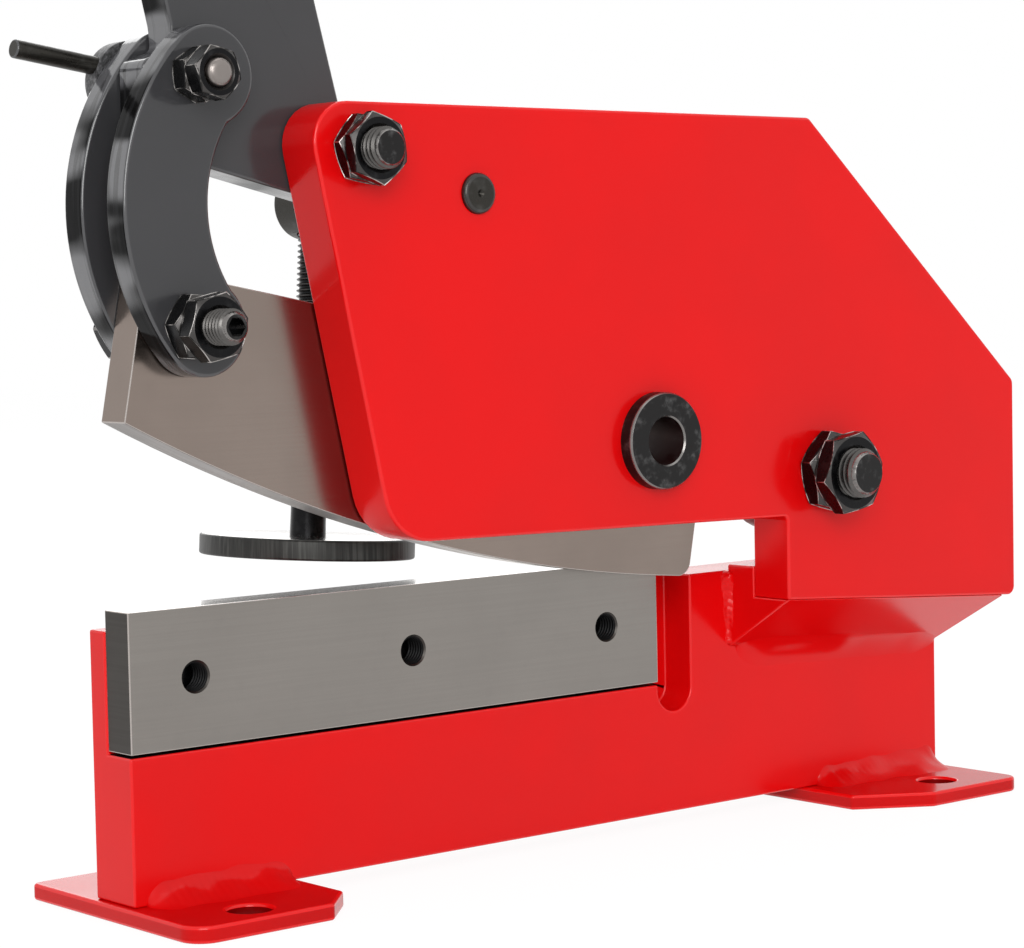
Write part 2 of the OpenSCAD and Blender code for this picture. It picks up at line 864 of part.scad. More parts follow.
module hand_grip() {
    color("#1b1b1c")
    placed()
    along_lever()
        translate([0, 0, tube_rise + tube_l - grip_l + grip_wall_end])
            rotate_extrude()
                polygon([
                    [tube_d / 2 + thread_fit, 0], [grip_d / 2 + 2, 0], [grip_d / 2 + 2, 5], [grip_d / 2, 8],
                    [grip_d / 2, grip_l - 8], [grip_d / 2 - 2.5, grip_l - 2.5], [grip_d / 2 - 8, grip_l],
                    [0, grip_l], [0, grip_l - grip_wall_end + thread_fit],
                    [tube_d / 2 + thread_fit, grip_l - grip_wall_end + thread_fit]
                ]);
}

// Lays a piece out along the hold-down screw, from the point where it crosses the bar
module along_screw() {
    translate([bar_x, screw_y, bar_z])
        rotate([0, screw_tilt, 0])
            children();
}

module hold_down_bar() {
    end_cut = 1;
    front = plate_near - bar_spigot_proud;
    color("#404042")
    placed()
    difference() {
        union() {
            round_y(bar_x, bar_z, bar_d, plate_back + slide_gap, bar_end - end_cut);
            cone_y(bar_x, bar_z, bar_d, bar_d - 2 * end_cut, bar_end - end_cut, bar_end);
            round_y(bar_x, bar_z, bar_spigot_d, front + 0.8, plate_back + slide_gap + 0.1);
            cone_y(bar_x, bar_z, bar_spigot_d - 1.6, bar_spigot_d, front, front + 0.8);
        }
        along_screw()
            translate([0, 0, -bar_d])
                cylinder(d = screw_d + 2 * run_fit, h = 2 * bar_d);
        // centre mark in the near end
        cone_y(bar_x, bar_z, 2.4, 0.4, front - 0.01, front + 1);
    }
}

module hold_down_screw() {
    bottom = -press_drop + press_t / 2;
    color("#2c2c2e")
    placed()
    along_screw() {
        translate([0, 0, bottom])
            cylinder(d = screw_shank_d, h = screw_shank_l);
        translate([0, 0, bottom + screw_shank_l])
            cylinder(d = screw_d, h = screw_head_up - bottom - screw_shank_l + 0.1);
        translate([0, 0, screw_head_up])
            rotate([-90, 0, 0])
                hex_y(0, 0, hex_m12, -screw_head_t, 0, 0, true, false);
    }
}

module hold_down_foot() {
    edge = 0.9;
    color("#3a3f42")
    placed()
    along_screw()
        translate([0, 0, -press_drop - press_t / 2]) {
            cylinder(d1 = press_d - 2 * edge, d2 = press_d, h = edge);
            translate([0, 0, edge])
                cylinder(d = press_d, h = press_t - 2 * edge);
            translate([0, 0, press_t - edge])
                cylinder(d1 = press_d, d2 = press_d - 2 * edge, h = edge);
        }
}

bed_plate();
front_foot();
rear_foot();
side_plate();
spacer_block();
frame_welds();
lower_blade();
blade_screws();
bar_bush();
pivot_bolt();
pivot_nuts();
pivot_washer();
lever_bolt();
lever_bolt_nuts();
upper_blade();
near_link();
far_link();
upper_link_bolt();
upper_link_nuts();
lower_link_bolt();
lower_link_nuts();
clamp_collar();
clamp_rod();
lever_arm();
handle_tube();
handle_bolts();
handle_nuts();
hand_grip();
hold_down_bar();
hold_down_screw();
hold_down_foot();
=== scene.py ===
"""Hand lever shear: painted frame, ground blades, linkage, fasteners, hold-down and handle.

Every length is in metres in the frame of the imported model, which is loaded first. Helper values
that stand for a real size are written in millimetres and turned to metres once.
"""

import math

import bmesh
import bpy
from bpy.props import FloatProperty, FloatVectorProperty, IntProperty, PointerProperty
from bpy.types import Operator, Panel, PropertyGroup
from mathutils import Matrix, Vector
from mathutils import noise as field


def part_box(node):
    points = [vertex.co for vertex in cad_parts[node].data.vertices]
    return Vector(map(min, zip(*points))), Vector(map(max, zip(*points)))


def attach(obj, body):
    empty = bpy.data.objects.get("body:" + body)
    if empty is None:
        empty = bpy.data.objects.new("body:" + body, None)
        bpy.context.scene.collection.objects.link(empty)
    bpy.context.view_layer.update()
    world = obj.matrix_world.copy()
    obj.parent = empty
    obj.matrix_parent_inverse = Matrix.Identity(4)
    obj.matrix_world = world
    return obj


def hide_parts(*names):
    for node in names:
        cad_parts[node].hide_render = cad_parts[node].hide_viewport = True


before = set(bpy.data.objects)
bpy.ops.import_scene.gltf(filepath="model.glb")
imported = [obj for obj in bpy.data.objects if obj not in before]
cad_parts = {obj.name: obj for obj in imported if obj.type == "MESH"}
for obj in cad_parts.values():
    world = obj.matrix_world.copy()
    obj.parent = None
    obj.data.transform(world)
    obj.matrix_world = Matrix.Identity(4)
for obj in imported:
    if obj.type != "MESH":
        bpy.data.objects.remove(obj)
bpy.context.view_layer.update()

bl_info = {
    "name": "Hand lever shear",
    "version": (1, 0, 0),
    "blender": (4, 5, 0),
    "location": "3D View > Sidebar > Lever shear",
    "description": "Builds the finished pieces, paint, steel and studio of a hand lever shear",
    "category": "Object",
}

MM = 0.001
# The middle of the foot bolt holes, in the layout that starts at the lower blade's front end
ORIGIN_X = 166.2
ORIGIN_Y = 7.5

# Axes that run along Y, as (x, z) in that layout
PIVOT = (250.6, 114.6)
LEVER_PIVOT = (63.5, 215.5)
UPPER_LINK = (12.3, 235.0)
LOWER_LINK = (10.3, 166.8)
BAR_HOLE = (174.9, 128.3)
HOLD_DOWN_BAR = (105.4, 203.6)
BLADE_SCREWS = tuple((x, 68.0) for x in (22, 100, 178))

# Axes of the feet's bolt holes, as (x, y) in metres from the frame's own origin
FOOT_BOLTS = tuple((x, y) for x in (-0.143, 0.143) for y in (-0.0295, 0.0295))

ALONG_Y = Vector((0, 1, 0))

# The finish of the faces, then that of the edges
GREY_PAINT = ("Dark grey gloss enamel", "Dark grey enamel over an edge")
BLACK_OXIDE = ("Black oxide steel", "Rubbed black oxide")


def linear(code):
    """Turns an sRGB hex colour into the linear colour that shaders take."""
    values = [int(code[i : i + 2], 16) / 255 for i in (1, 3, 5)]
    flat = [v / 12.92 if v <= 0.04045 else ((v + 0.055) / 1.055) ** 2.4 for v in values]
    return (*flat, 1.0)


def at(x, y, z):
    """A point given in the layout's millimetres, as a place in metres."""
    return Vector(((x - ORIGIN_X) * MM, (y - ORIGIN_Y) * MM, z * MM))


# Sizes and colours


def length_property(name, description, default):
    return FloatProperty(name=name, description=description, default=default, unit="LENGTH")


def colour_property(name, description, code):
    return FloatVectorProperty(
        name=name,
        description=description,
        subtype="COLOR",
        size=4,
        default=linear(code),
    )


class SHEAR_PG_sizes(PropertyGroup):
    plate_edge: length_property("Plate edge", "Radius of the edges of plates and bed", 0.0009)
    link_edge: length_property("Link edge", "Radius of the edges of links and lever", 0.0010)
    blade_edge: length_property("Blade edge", "Width of the broken edges of both blades", 0.0003)
    # on the nuts it also sets the radius of the painted highlight strips along the corners
    fastener_edge: length_property("Fastener edge", "Width of worn edges on nuts", 0.00028)
    ripple: length_property("Weld ripple", "Distance between a weld bead's ripples", 0.0026)
    thread_depth: FloatProperty(
        name="Thread depth",
        description="Depth of a screw thread as a share of its pitch",
        default=0.5,
        subtype="FACTOR",
    )
    grip_rings: IntProperty(
        name="Grip rings",
        description="Number of shallow rings moulded round the hand grip",
        default=9,
    )


class SHEAR_PG_colours(PropertyGroup):
    red: colour_property("Red enamel", "Colour of the paint on the frame", "#E8080B")
    grey: colour_property("Grey enamel", "Paint on links, lever and handle", "#3C3C3E")
    blade: colour_property("Blade steel", "Ground faces of the lower blade", "#8D8883")
    oxide: colour_property("Black oxide", "Nuts, bolts and hold-down screw", "#101012")
    bright: colour_property("Bright steel", "Bare machined steel", "#B9B1AC")
    rubber: colour_property("Grip rubber", "Colour of the hand grip", "#1D1D1E")


# Materials

MATERIALS = {}
WHITE = (1.0, 1.0, 1.0, 1.0)


def add(tree, kind, values=None, links=None, **settings):
    """Adds one node with its settings, its socket values and what feeds its sockets."""
    made = tree.nodes.new(kind)
    for key, value in settings.items():
        setattr(made, key, value)
    for key, value in (values or {}).items():
        made.inputs[key].default_value = value
    for key, socket in (links or {}).items():
        tree.links.new(socket, made.inputs[key])
    return made


def new_material(name):
    """The nodes of an empty material, and the surface's own coordinates in them."""
    material = bpy.data.materials.new(name)
    MATERIALS[name] = material
    material.use_nodes = True
    tree = material.node_tree
    tree.nodes.clear()
    return tree, add(tree, "ShaderNodeTexCoord").outputs["Object"]


def stretched(tree, place, size_mm):
    """Coordinates in which one unit is a real size in millimetres, or one size for each axis."""
    sizes = size_mm if isinstance(size_mm, tuple) else (size_mm, size_mm, size_mm)
    scale = tuple(1.0 / (size * MM) for size in sizes)
    return add(tree, "ShaderNodeMapping", {"Scale": scale}, {"Vector": place}).outputs["Vector"]


def noise(tree, place, size_mm, detail, roughness):
    """Soft random spots of a real size in millimetres, or of one size for each axis."""
    values = {"Scale": 1.0, "Detail": detail, "Roughness": roughness}
    links = {"Vector": stretched(tree, place, size_mm)}
    return add(tree, "ShaderNodeTexNoise", values, links).outputs["Fac"]


def span(tree, source, low, high, to_low=0.0, to_high=1.0):
    """Maps one range of a pattern to another, eased at both ends so that no line shows there."""
    values = {"From Min": low, "From Max": high, "To Min": to_low, "To Max": to_high}
    eased = add(tree, "ShaderNodeMapRange", values, {"Value": source})
    eased.interpolation_type = "SMOOTHSTEP"
    return eased.outputs["Result"]


def mixed(tree, factor, first, second):
    """Mixes two colours by a pattern."""
    made = add(tree, "ShaderNodeMix", data_type="RGBA")
    tree.links.new(factor, made.inputs["Factor"])
    for socket, colour in ((made.inputs[6], first), (made.inputs[7], second)):
        if isinstance(colour, tuple):
            socket.default_value = colour
        else:
            tree.links.new(colour, socket)
    return made.outputs[2]


def bumped(tree, height, depth_mm, strength, normal=None):
    """The normal of a surface raised by a pattern, over another such normal."""
    values = {"Strength": strength, "Distance": depth_mm * MM}
    links = {"Height": height}
    if normal is not None:
        links["Normal"] = normal
    return add(tree, "ShaderNodeBump", values, links).outputs["Normal"]


def surface(tree, values, links):
    """Ends a material with one shader of the given values and patterns."""
    shader = add(tree, "ShaderNodeBsdfPrincipled", values, links)
    add(tree, "ShaderNodeOutputMaterial", links={"Surface": shader.outputs["BSDF"]})


def scaled(colour, share):
    return (*(c * share for c in colour[:3]), 1.0)


def enamel(name, colour, shade, specular, dust, roughness):
    """Sprayed gloss enamel: wet looking, with a faint orange peel, soft clouds where the coat is
    thicker, and a few dust grains under the film."""
    tree, place = new_material(name)
    clouds = noise(tree, place, 46, 2.0, 0.45)
    tone = mixed(tree, span(tree, clouds, 0.35, 0.7), scaled(colour, shade), colour)
    peel = noise(tree, place, 2.6, 1.0, 0.4)
    flow = noise(tree, place, 17, 1.0, 0.4)
    waved = bumped(tree, flow, 0.16, 0.5)
    peeled = bumped(tree, peel, 0.012, 0.5, waved)
    links = {"Vector": stretched(tree, place, 9)}
    grains = add(tree, "ShaderNodeTexVoronoi", {"Scale": 1.0}, links).outputs["Distance"]
    specks = span(tree, grains, 0.0, 0.05, dust, 0.0)
    dusted = bumped(tree, specks, 0.12, 0.4, peeled)
    gloss = span(tree, clouds, 0.3, 0.7, roughness, roughness * 1.5)
    surface(
        tree,
        {"Specular IOR Level": specular, "IOR": 1.5, "Metallic": 0.0},
        {"Base Color": tone, "Roughness": gloss, "Normal": dusted},
    )


def ground_steel(name, colour, lines_mm, roughness, cloud=0.90, depth=0.006):
    """Hardened tool steel from a surface grinder: fine parallel lines, and a warm grey bloom that
    drifts over the face. lines_mm is the size of a line along each axis, drawn about three times
    as coarse as the real ones so that it shows."""
    tree, place = new_material(name)
    lines = noise(tree, place, lines_mm, 2.0, 0.6)
    bloom = noise(tree, place, 31, 3.0, 0.5)
    stain = noise(tree, place, 7, 3.0, 0.55)
    tone = mixed(tree, span(tree, bloom, 0.3, 0.72), scaled(colour, cloud), colour)
    lined = mixed(tree, span(tree, lines, 0.35, 0.65, 0.0, 0.16), tone, scaled(colour, 0.88))
    spotted = mixed(tree, span(tree, stain, 0.5, 0.85, 0.0, 0.25), lined, scaled(colour, 0.85))
    gloss = span(tree, lines, 0.3, 0.7, roughness * 0.92, roughness * 1.1)
    surface(
        tree,
        {"Metallic": 1.0, "Anisotropic": 0.35},
        {"Base Color": spotted, "Roughness": gloss, "Normal": bumped(tree, lines, depth, 0.5)},
    )


def oxide_steel(name, colour, roughness, wear, metallic=0.75):
    """Black oxide on machined steel: nearly black and oily, rubbed to grey where tools touch it."""
    tree, place = new_material(name)
    rub = noise(tree, place, 3.5, 4.0, 0.6)
    fine = noise(tree, place, 0.5, 2.0, 0.5)
    worn = (*(c + (1.0 - c) * wear for c in colour[:3]), 1.0)
    tone = mixed(tree, span(tree, rub, 0.5, 0.85), colour, worn)
    gloss = span(tree, rub, 0.3, 0.7, roughness * 0.8, roughness * 1.3)
    surface(
        tree,
        {"Metallic": metallic},
        {"Base Color": tone, "Roughness": gloss, "Normal": bumped(tree, fine, 0.01, 0.4)},
    )


def make_materials(colours):
    """All finishes, made once."""
    red = tuple(colours.red)
    grey = tuple(colours.grey)
    blade = tuple(colours.blade)
    oxide = tuple(colours.oxide)
    bright = tuple(colours.bright)
    # Alkyd enamel sprayed over blasted plate: even, saturated, glossy
    enamel("Red gloss enamel", red, 0.95, 0.20, 1.0, 0.165)
    # The film pulls thin over an edge, and the edge is painted a little lighter there as a
    # highlight
    enamel("Red enamel over an edge", scaled(red, 1.04), 0.98, 0.40, 0.0, 0.12)
    # Same paint over a rough bead, painted darker as shade
    enamel("Red enamel over a weld, painted shade", scaled(red, 0.90), 0.92, 0.24, 0.6, 0.17)
    # The feet are painted darker, as shade
    enamel("Red enamel on a foot", scaled(red, 0.80), 0.90, 0.15, 1.0, 0.15)
    # Dark red on the walls of the feet's bolt holes: painted shade
    enamel("Red enamel in a bolt hole", scaled(red, 0.26), 0.80, 0.10, 0.0, 0.17)
    enamel("Dark grey gloss enamel", grey, 0.93, 0.42, 0.6, 0.13)
    # The edges are painted lighter as a highlight
    enamel("Dark grey enamel over an edge", scaled(grey, 1.15), 0.9, 0.80, 0.0, 0.10)
    rim_with_painted_reflections(grey)
    # Lines run along the blade, as the grinder's table moved
    ground_steel("Ground tool steel", blade, (60, 0.7, 0.7), 0.22, 0.95, 0.003)
    # The moving blade was tempered a little further, which leaves a straw tint
    ground_steel("Ground moving blade", linear("#8F827A"), (60, 0.7, 0.7), 0.20, 0.90, 0.003)
    # Faces that lie flat on the grinder's table come off brightest
    ground_steel("Bright ground face", linear("#DEDAD6"), (60, 0.9, 60), 0.16, 0.93, 0.003)
    ground_steel("Ground cutting edge", scaled(bright, 0.55), (30, 1.1, 30), 0.34, 0.7, 0.02)
    ground_steel("Broken blade edge", bright, (8, 8, 0.8), 0.28, 0.95)
    ground_steel("Sawn blade end", linear("#4A4744"), (60, 60, 0.9), 0.42, 0.85, 0.012)
    oxide_steel("Black oxide steel", oxide, 0.25, 0.02)
    # Worn edges, lighter still as a painted highlight on the rims of bolt ends and the bush
    oxide_steel("Rubbed black oxide", linear("#7C7977"), 0.24, 0.06, 0.9)
    painted_edge_highlights()
    # Crests of the bolts' threads, dulled by oil and painted lighter as a highlight
    oxide_steel("Oiled thread with painted highlight", linear("#5B5957"), 0.26, 0.05, 0.85)
    # The 30 degree chamfer of a nut and the end of a bolt, lighter as a painted highlight
    oxide_steel("Thin black oxide", linear("#474544"), 0.28, 0.05, 0.85)
    # Also the seat under the lower blade, painted black as shade
    oxide_steel("Black oxide bore", linear("#101011"), 0.45, 0.02)
    # Dark red inside the bore
    oxide_steel("Dark red bore", linear("#240909"), 0.40, 0.02, 0.3)
    oxide_steel("Scuffed black oxide", linear("#232222"), 0.35, 0.10)
    ground_steel("Bright turned steel", linear("#8F8884"), (2, 2, 2), 0.34, 0.8)
    # Round bar with the mill's dark skin
    oxide_steel("Dark drawn steel", linear("#35332F"), 0.30, 0.04, 0.8)
    phosphated()
    # Sand-cast iron under thin grey paint: pitted, dull, with rubbed high spots
    iron = (linear("#3A3A3B"), linear("#6C6C6E"))
    values = {"Metallic": 0.2, "Roughness": 0.45}
    grained("Painted cast iron", (1.1, 4.0, 0.65), (0.4, 0.65), iron, (0.12, 0.6), values)
    # Matt black, with a fine spark-eroded grain
    black = (tuple(colours.rubber), scaled(colours.rubber, 1.5))
    values = {"Roughness": 0.58, "Specular IOR Level": 0.4, "IOR": 1.52}
    grained("Moulded rubber", (0.9, 3.0, 0.6), (0.3, 0.7), black, (0.05, 0.4), values)


def painted_edge_highlights():
    """Painted highlight on the corners of nuts, bright in patches and dark between them."""
    tree, place = new_material("Painted edge highlight")
    rub = noise(tree, place, 4.2, 2.0, 0.5)
    patches = span(tree, rub, 0.42, 0.60)
    tone = mixed(tree, patches, linear("#343332"), linear("#B4B0AD"))
    surface(
        tree,
        {"Metallic": 0.92},
        {"Base Color": tone, "Roughness": span(tree, rub, 0.3, 0.7, 0.2, 0.3)},
    )


def rim_with_painted_reflections(colour):
    """Grey enamel on the rims of the links, where it sagged while wet into long smooth waves, dull
    in the hollows and glossy over the crests. Its dark and light streaks are painted reflections."""
    tree, place = new_material("Dark grey enamel pooled on a rim")
    waves = noise(tree, place, (19, 50, 19), 2.0, 0.45)
    creases = noise(tree, place, (34, 2.4, 34), 2.0, 0.5)
    share = span(tree, waves, 0.43, 0.56)
    painted_reflection = mixed(tree, share, scaled(colour, 0.10), scaled(colour, 2.4))
    tone = mixed(tree, span(tree, creases, 0.50, 0.62, 0.0, 0.7), painted_reflection, scaled(colour, 0.35))
    rolled = bumped(tree, waves, 0.9, 0.8)
    sheen = span(tree, waves, 0.42, 0.58, 0.06, 1.1)
    surface(
        tree,
        {"IOR": 1.5, "Metallic": 0.0, "Roughness": 0.11},
        {
            "Base Color": tone,
            "Specular IOR Level": sheen,
            "Normal": bumped(tree, creases, 0.12, 0.5, rolled),
        },
    )


def phosphated():
    """Phosphated mild steel disc: dark grey green, with upright tool marks round its rim."""
    tree, place = new_material("Phosphated steel")
    marks = noise(tree, place, (1.0, 1.0, 60), 2.0, 0.6)
    blotch = noise(tree, place, 9, 3.0, 0.5)
    share = span(tree, marks, 0.38, 0.68)
    tone = mixed(tree, share, linear("#323231"), linear("#4F4F4D"))
    toned = mixed(tree, span(tree, blotch, 0.35, 0.7, 0.0, 0.7), tone, linear("#3E3E3C"))
    surface(
        tree,
        {"Metallic": 0.75, "Roughness": 0.42},
        {"Base Color": toned, "Normal": bumped(tree, marks, 0.05, 0.5)},
    )


def grained(name, grain, limits, colours, raised, values):
    """A dull skin with one grain, in its colour as in its height. grain is what noise takes after
    the coordinates, and raised the depth and strength of the bumps."""
    tree, place = new_material(name)
    pattern = noise(tree, place, *grain)
    tone = mixed(tree, span(tree, pattern, *limits), *colours)
    surface(tree, values, {"Base Color": tone, "Normal": bumped(tree, pattern, *raised)})


# Modelling


def only(*objects):
    """Selects just these objects, the first one active, or none at all."""
    bpy.ops.object.select_all(action="DESELECT")
    for o in reversed(objects):
        o.select_set(True)
        bpy.context.view_layer.objects.active = o


def shape_of(piece):
    shape = bmesh.new()
    shape.from_mesh(piece.data)
    return shape


def edit(piece):
    only(piece)
    bpy.ops.object.mode_set(mode="EDIT")
    bpy.ops.mesh.select_mode(type="VERT")
    bpy.ops.mesh.select_all(action="SELECT")


def done_editing():
    bpy.ops.object.mode_set(mode="OBJECT")


def closed_up(piece, nearest=0.001):
    """Merges points nearer than so many millimetres, fills small holes, turns normals outward."""
    edit(piece)
    bpy.ops.mesh.remove_doubles(threshold=nearest * MM)
    bpy.ops.mesh.delete_loose(use_verts=True, use_edges=True, use_faces=False)
    bpy.ops.mesh.select_all(action="SELECT")
    bpy.ops.mesh.fill_holes(sides=6)
    bpy.ops.mesh.select_all(action="SELECT")
    bpy.ops.mesh.normals_make_consistent(inside=False)
    done_editing()


def joined(piece, other):
    only(piece, other)
    bpy.ops.object.join()


def smoothed(piece, degrees):
    """Shades a piece smooth but for the edges sharper than an angle."""
    only(piece)
    bpy.ops.object.shade_smooth_by_angle(angle=math.radians(degrees))


def modified(piece, kind, **settings):
    """Applies one modifier to a piece."""
    only(piece)
    made = piece.modifiers.new(kind, kind)
    for key, value in settings.items():
        setattr(made, key, value)
    bpy.ops.object.modifier_apply(modifier=made.name)


def copied(node, name, *finishes):
    """The node's own shape as a clean solid: doubles merged and flat faces made whole. It gets
    the named finishes, the main one first."""
    piece = bpy.data.objects.new(name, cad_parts[node].data.copy())
    bpy.context.scene.collection.objects.link(piece)
    only(piece)
    if piece.data.has_custom_normals:
        bpy.ops.mesh.customdata_custom_splitnormals_clear()
    edit(piece)
    bpy.ops.mesh.remove_doubles(threshold=0.000002)
    bpy.ops.mesh.dissolve_limited(angle_limit=math.radians(0.5))
    done_editing()
    parted(piece)
    return with_finish(piece, *finishes)


def parted(piece):
    """Takes out the faces between solids that touch, such as two nuts locked against each other,
    so that they share one closed skin."""
    edit(piece)
    bpy.ops.mesh.select_mode(type="FACE")
    bpy.ops.mesh.select_all(action="DESELECT")
    bpy.ops.mesh.select_interior_faces()
    bpy.ops.mesh.delete(type="FACE")
    done_editing()


def with_finish(piece, *names):
    """Puts the named materials on a piece, the main one first."""
    piece.data.materials.clear()
    for name in names:
        piece.data.materials.append(MATERIALS[name])
    return piece


def edged(piece, width, segments, skip=None, only_along=None, smooth=38):
    """Rounds the sharp edges, gives the new faces the second finish and keeps the flat faces flat
    to the eye. skip leaves out edges by their middle, and only_along keeps just those that run
    along a direction."""
    shape = shape_of(piece)
    weight = shape.edges.layers.float.new("bevel_weight_edge")
    limit = math.radians(28)
    for edge in shape.edges:
        if len(edge.link_faces) != 2 or edge.calc_face_angle(0.0) < limit:
            continue
        first, second = edge.verts
        if skip is not None and skip((first.co + second.co) / 2):
            continue
        run = (second.co - first.co).normalized()
        if only_along is not None and abs(run.dot(only_along)) < 0.999:
            continue
        edge[weight] = 1.0
    shape.to_mesh(piece.data)
    shape.free()
    # a piece with one finish keeps it on the rounding
    finish = 1 if len(piece.data.materials) > 1 else -1
    limits = {"limit_method": "WEIGHT", "use_clamp_overlap": False}
    modified(piece, "BEVEL", width=width, segments=segments, material=finish, **limits)
    smoothed(piece, smooth)
    modified(piece, "WEIGHTED_NORMAL", keep_sharp=True, weight=80)


def near_axes(*axes):
    """A test for points beside any of the axes along Y: ((x, z), radius) in millimetres."""

    def test(point):
        for (x, z), radius in axes:
            away = point - at(x, 0, z)
            if math.hypot(away.x, away.z) < radius * MM:
                return True
        return False

    return test


def blade_screws(radius):
    """The axes of the blade's screw holes, each with the same radius about it."""
    return [(axis, radius) for axis in BLADE_SCREWS]


def rounded(radius, height, round_off, first):
    """A quarter circle of a profile about (radius, height), from an angle in degrees on."""
    angles = [math.radians(first + 15 * i) for i in range(7)]
    return [(radius + round_off * math.cos(a), height + round_off * math.sin(a)) for a in angles]


def turned(name, profile, steps):
    """A round piece spun round Z from (radius, height) pairs in millimetres."""
    only()
    bpy.ops.mesh.primitive_plane_add(size=0.002, location=(0, 0, 0))
    piece = bpy.context.object
    piece.name = name
    edit(piece)
    bpy.ops.mesh.merge(type="CENTER")
    last = Vector((0.0, 0.0, 0.0))
    for i, (radius, height) in enumerate(profile):
        to = Vector((radius * MM, 0.0, height * MM))
        if i == 0:
            bpy.ops.transform.translate(value=to - last)
        else:
            bpy.ops.mesh.extrude_vertices_move(TRANSFORM_OT_translate={"value": to - last})
        last = to
    bpy.ops.mesh.select_all(action="SELECT")
    bpy.ops.mesh.spin(steps=steps, angle=2 * math.pi, center=(0, 0, 0), axis=(0, 0, 1))
    done_editing()
    closed_up(piece, 0.002)
    smoothed(piece, 30)
    return piece


def helix(name, minor, major, pitch, length):
    """The ridge of a screw thread round Z from 0 up, in millimetres, closed at both ends."""
    only()
    bpy.ops.mesh.primitive_plane_add(size=0.002, location=(0, 0, 0))
    piece = bpy.context.object
    piece.name = name
    corners = (
        (minor - 0.25, -0.44 * pitch),
        (minor - 0.25, 0.44 * pitch),
        (major, 0.09 * pitch),
        (major, -0.09 * pitch),
    )
    for index, (radius, height) in zip(piece.data.polygons[0].vertices, corners):
        piece.data.vertices[index].co = (radius * MM, 0.0, height * MM)
    edit(piece)
    bpy.ops.mesh.delete(type="ONLY_FACE")
    done_editing()
    modified(
        piece,
        "SCREW",
        angle=2 * math.pi,
        screw_offset=pitch * MM,
        iterations=math.ceil(length / pitch) + 1,
        steps=28,
        render_steps=28,
        use_smooth_shade=False,
    )
    closed_up(piece)
    # what lies past either end is drawn into the shank, but not so far that its faces collapse
    for vertex in piece.data.vertices:
        height = vertex.co.z - 0.5 * pitch * MM
        kept = min(max(height, 0.03 * MM), length * MM)
        if kept != height:
            radius = math.hypot(vertex.co.x, vertex.co.y)
            share = ((minor - 0.3) * MM + 0.04 * (radius - minor * MM)) / radius
            vertex.co.x *= share
            vertex.co.y *= share
            kept += 0.01 * (kept - height)
        vertex.co.z = kept
    return piece


def placed(piece, start, direction):
    """Moves a piece made round Z so that it starts at a point and runs along a direction."""
    turn = Vector((0, 0, 1)).rotation_difference(direction).to_matrix().to_4x4()
    piece.matrix_world = Matrix.Translation(start) @ turn
    only(piece)
    bpy.ops.object.transform_apply(location=True, rotation=True, scale=True)


def from_axis(point, start, direction):
    """How far along an axis a point lies, the place on the axis there, and the way out from it."""
    run = (point - start).dot(direction)
    foot = start + direction * run
    return run, foot, point - foot


def narrowed(piece, start, direction, first, last, radius):
    """Cuts a shank back to the root of its thread between two distances from its end."""
    edit(piece)
    for distance in (first, last, last + 0.15 * MM):
        if distance <= 0:
            continue
        bpy.ops.mesh.select_all(action="SELECT")
        bpy.ops.mesh.bisect(plane_co=start + direction * distance, plane_no=direction)
    done_editing()
    grown = radius * 1.9
    for vertex in piece.data.vertices:
        run, foot, out = from_axis(vertex.co, start, direction)
        inside = first - 0.00002 <= run <= last + 0.00002
        if inside and radius < out.length < grown:
            vertex.co = foot + out.normalized() * radius


def threaded(piece, start, direction, first, last, nominal, pitch, end_radius, depth, finish):
    """Gives a bolt a real thread between two distances from its end (all in millimetres)."""
    minor = nominal / 2 - depth * pitch
    narrowed(piece, start, direction, first * MM, last * MM, minor * MM)
    ridge = helix(piece.name + "_thread", minor, nominal / 2, pitch, last - first)
    placed(ridge, start + direction * first * MM, direction)
    # the thread runs out over the chamfer at the bolt's end
    for vertex in ridge.data.vertices:
        run, foot, out = from_axis(vertex.co, start, direction)
        most = (end_radius - 0.06) * MM + run if first == 0 else nominal * MM
        if out.length > most:
            vertex.co = foot + out.normalized() * most
    with_finish(ridge, finish)
    smoothed(ridge, 25)
    joined(piece, ridge)


def rides(piece, body, slot, *nodes):
    """Ties a finished piece to its body and hides the nodes it stands for. The record slot it is
    given is not used.
    """
    for point in piece.location:
        if abs(point) > 1e-9:
            raise RuntimeError(piece.name + " isn't at the origin")
    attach(piece, body)
    if nodes:
        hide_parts(*nodes)


def paint_faces(piece, index, test):
    """Gives every face that passes the test another of the piece's materials."""
    for face in piece.data.polygons:
        if test(face):
            face.material_index = index


def highlight_strips(piece, radius, finish, skip):
    """Lays a thin strip of another finish, a painted highlight, along the sharp edges that stand
    out.
    """
    shape = shape_of(piece)
    limit = math.radians(40)
    places, ends, runs = {}, [], []
    for edge in shape.edges:
        if len(edge.link_faces) != 2 or not edge.is_convex or edge.calc_face_angle(0.0) < limit:
            continue
        if skip((edge.verts[0].co + edge.verts[1].co) / 2):
            continue
        for vertex in edge.verts:
            if vertex.index not in places:
                places[vertex.index] = len(ends)
                ends.append(vertex.co.copy())
        runs.append(tuple(places[vertex.index] for vertex in edge.verts))
    shape.free()
    data = bpy.data.meshes.new(piece.name + "_edges")
    data.from_pydata(ends, runs, [])
    strip = bpy.data.objects.new(data.name, data)
    bpy.context.scene.collection.objects.link(strip)
    only(strip)
    bpy.ops.object.convert(target="CURVE")
    strip = bpy.context.object
    strip.data.bevel_depth = radius
    strip.data.bevel_resolution = 1
    strip.data.use_fill_caps = True
    bpy.ops.object.convert(target="MESH")
    strip = bpy.context.object
    closed_up(strip)
    with_finish(strip, finish)
    smoothed(strip, 50)
    joined(piece, strip)


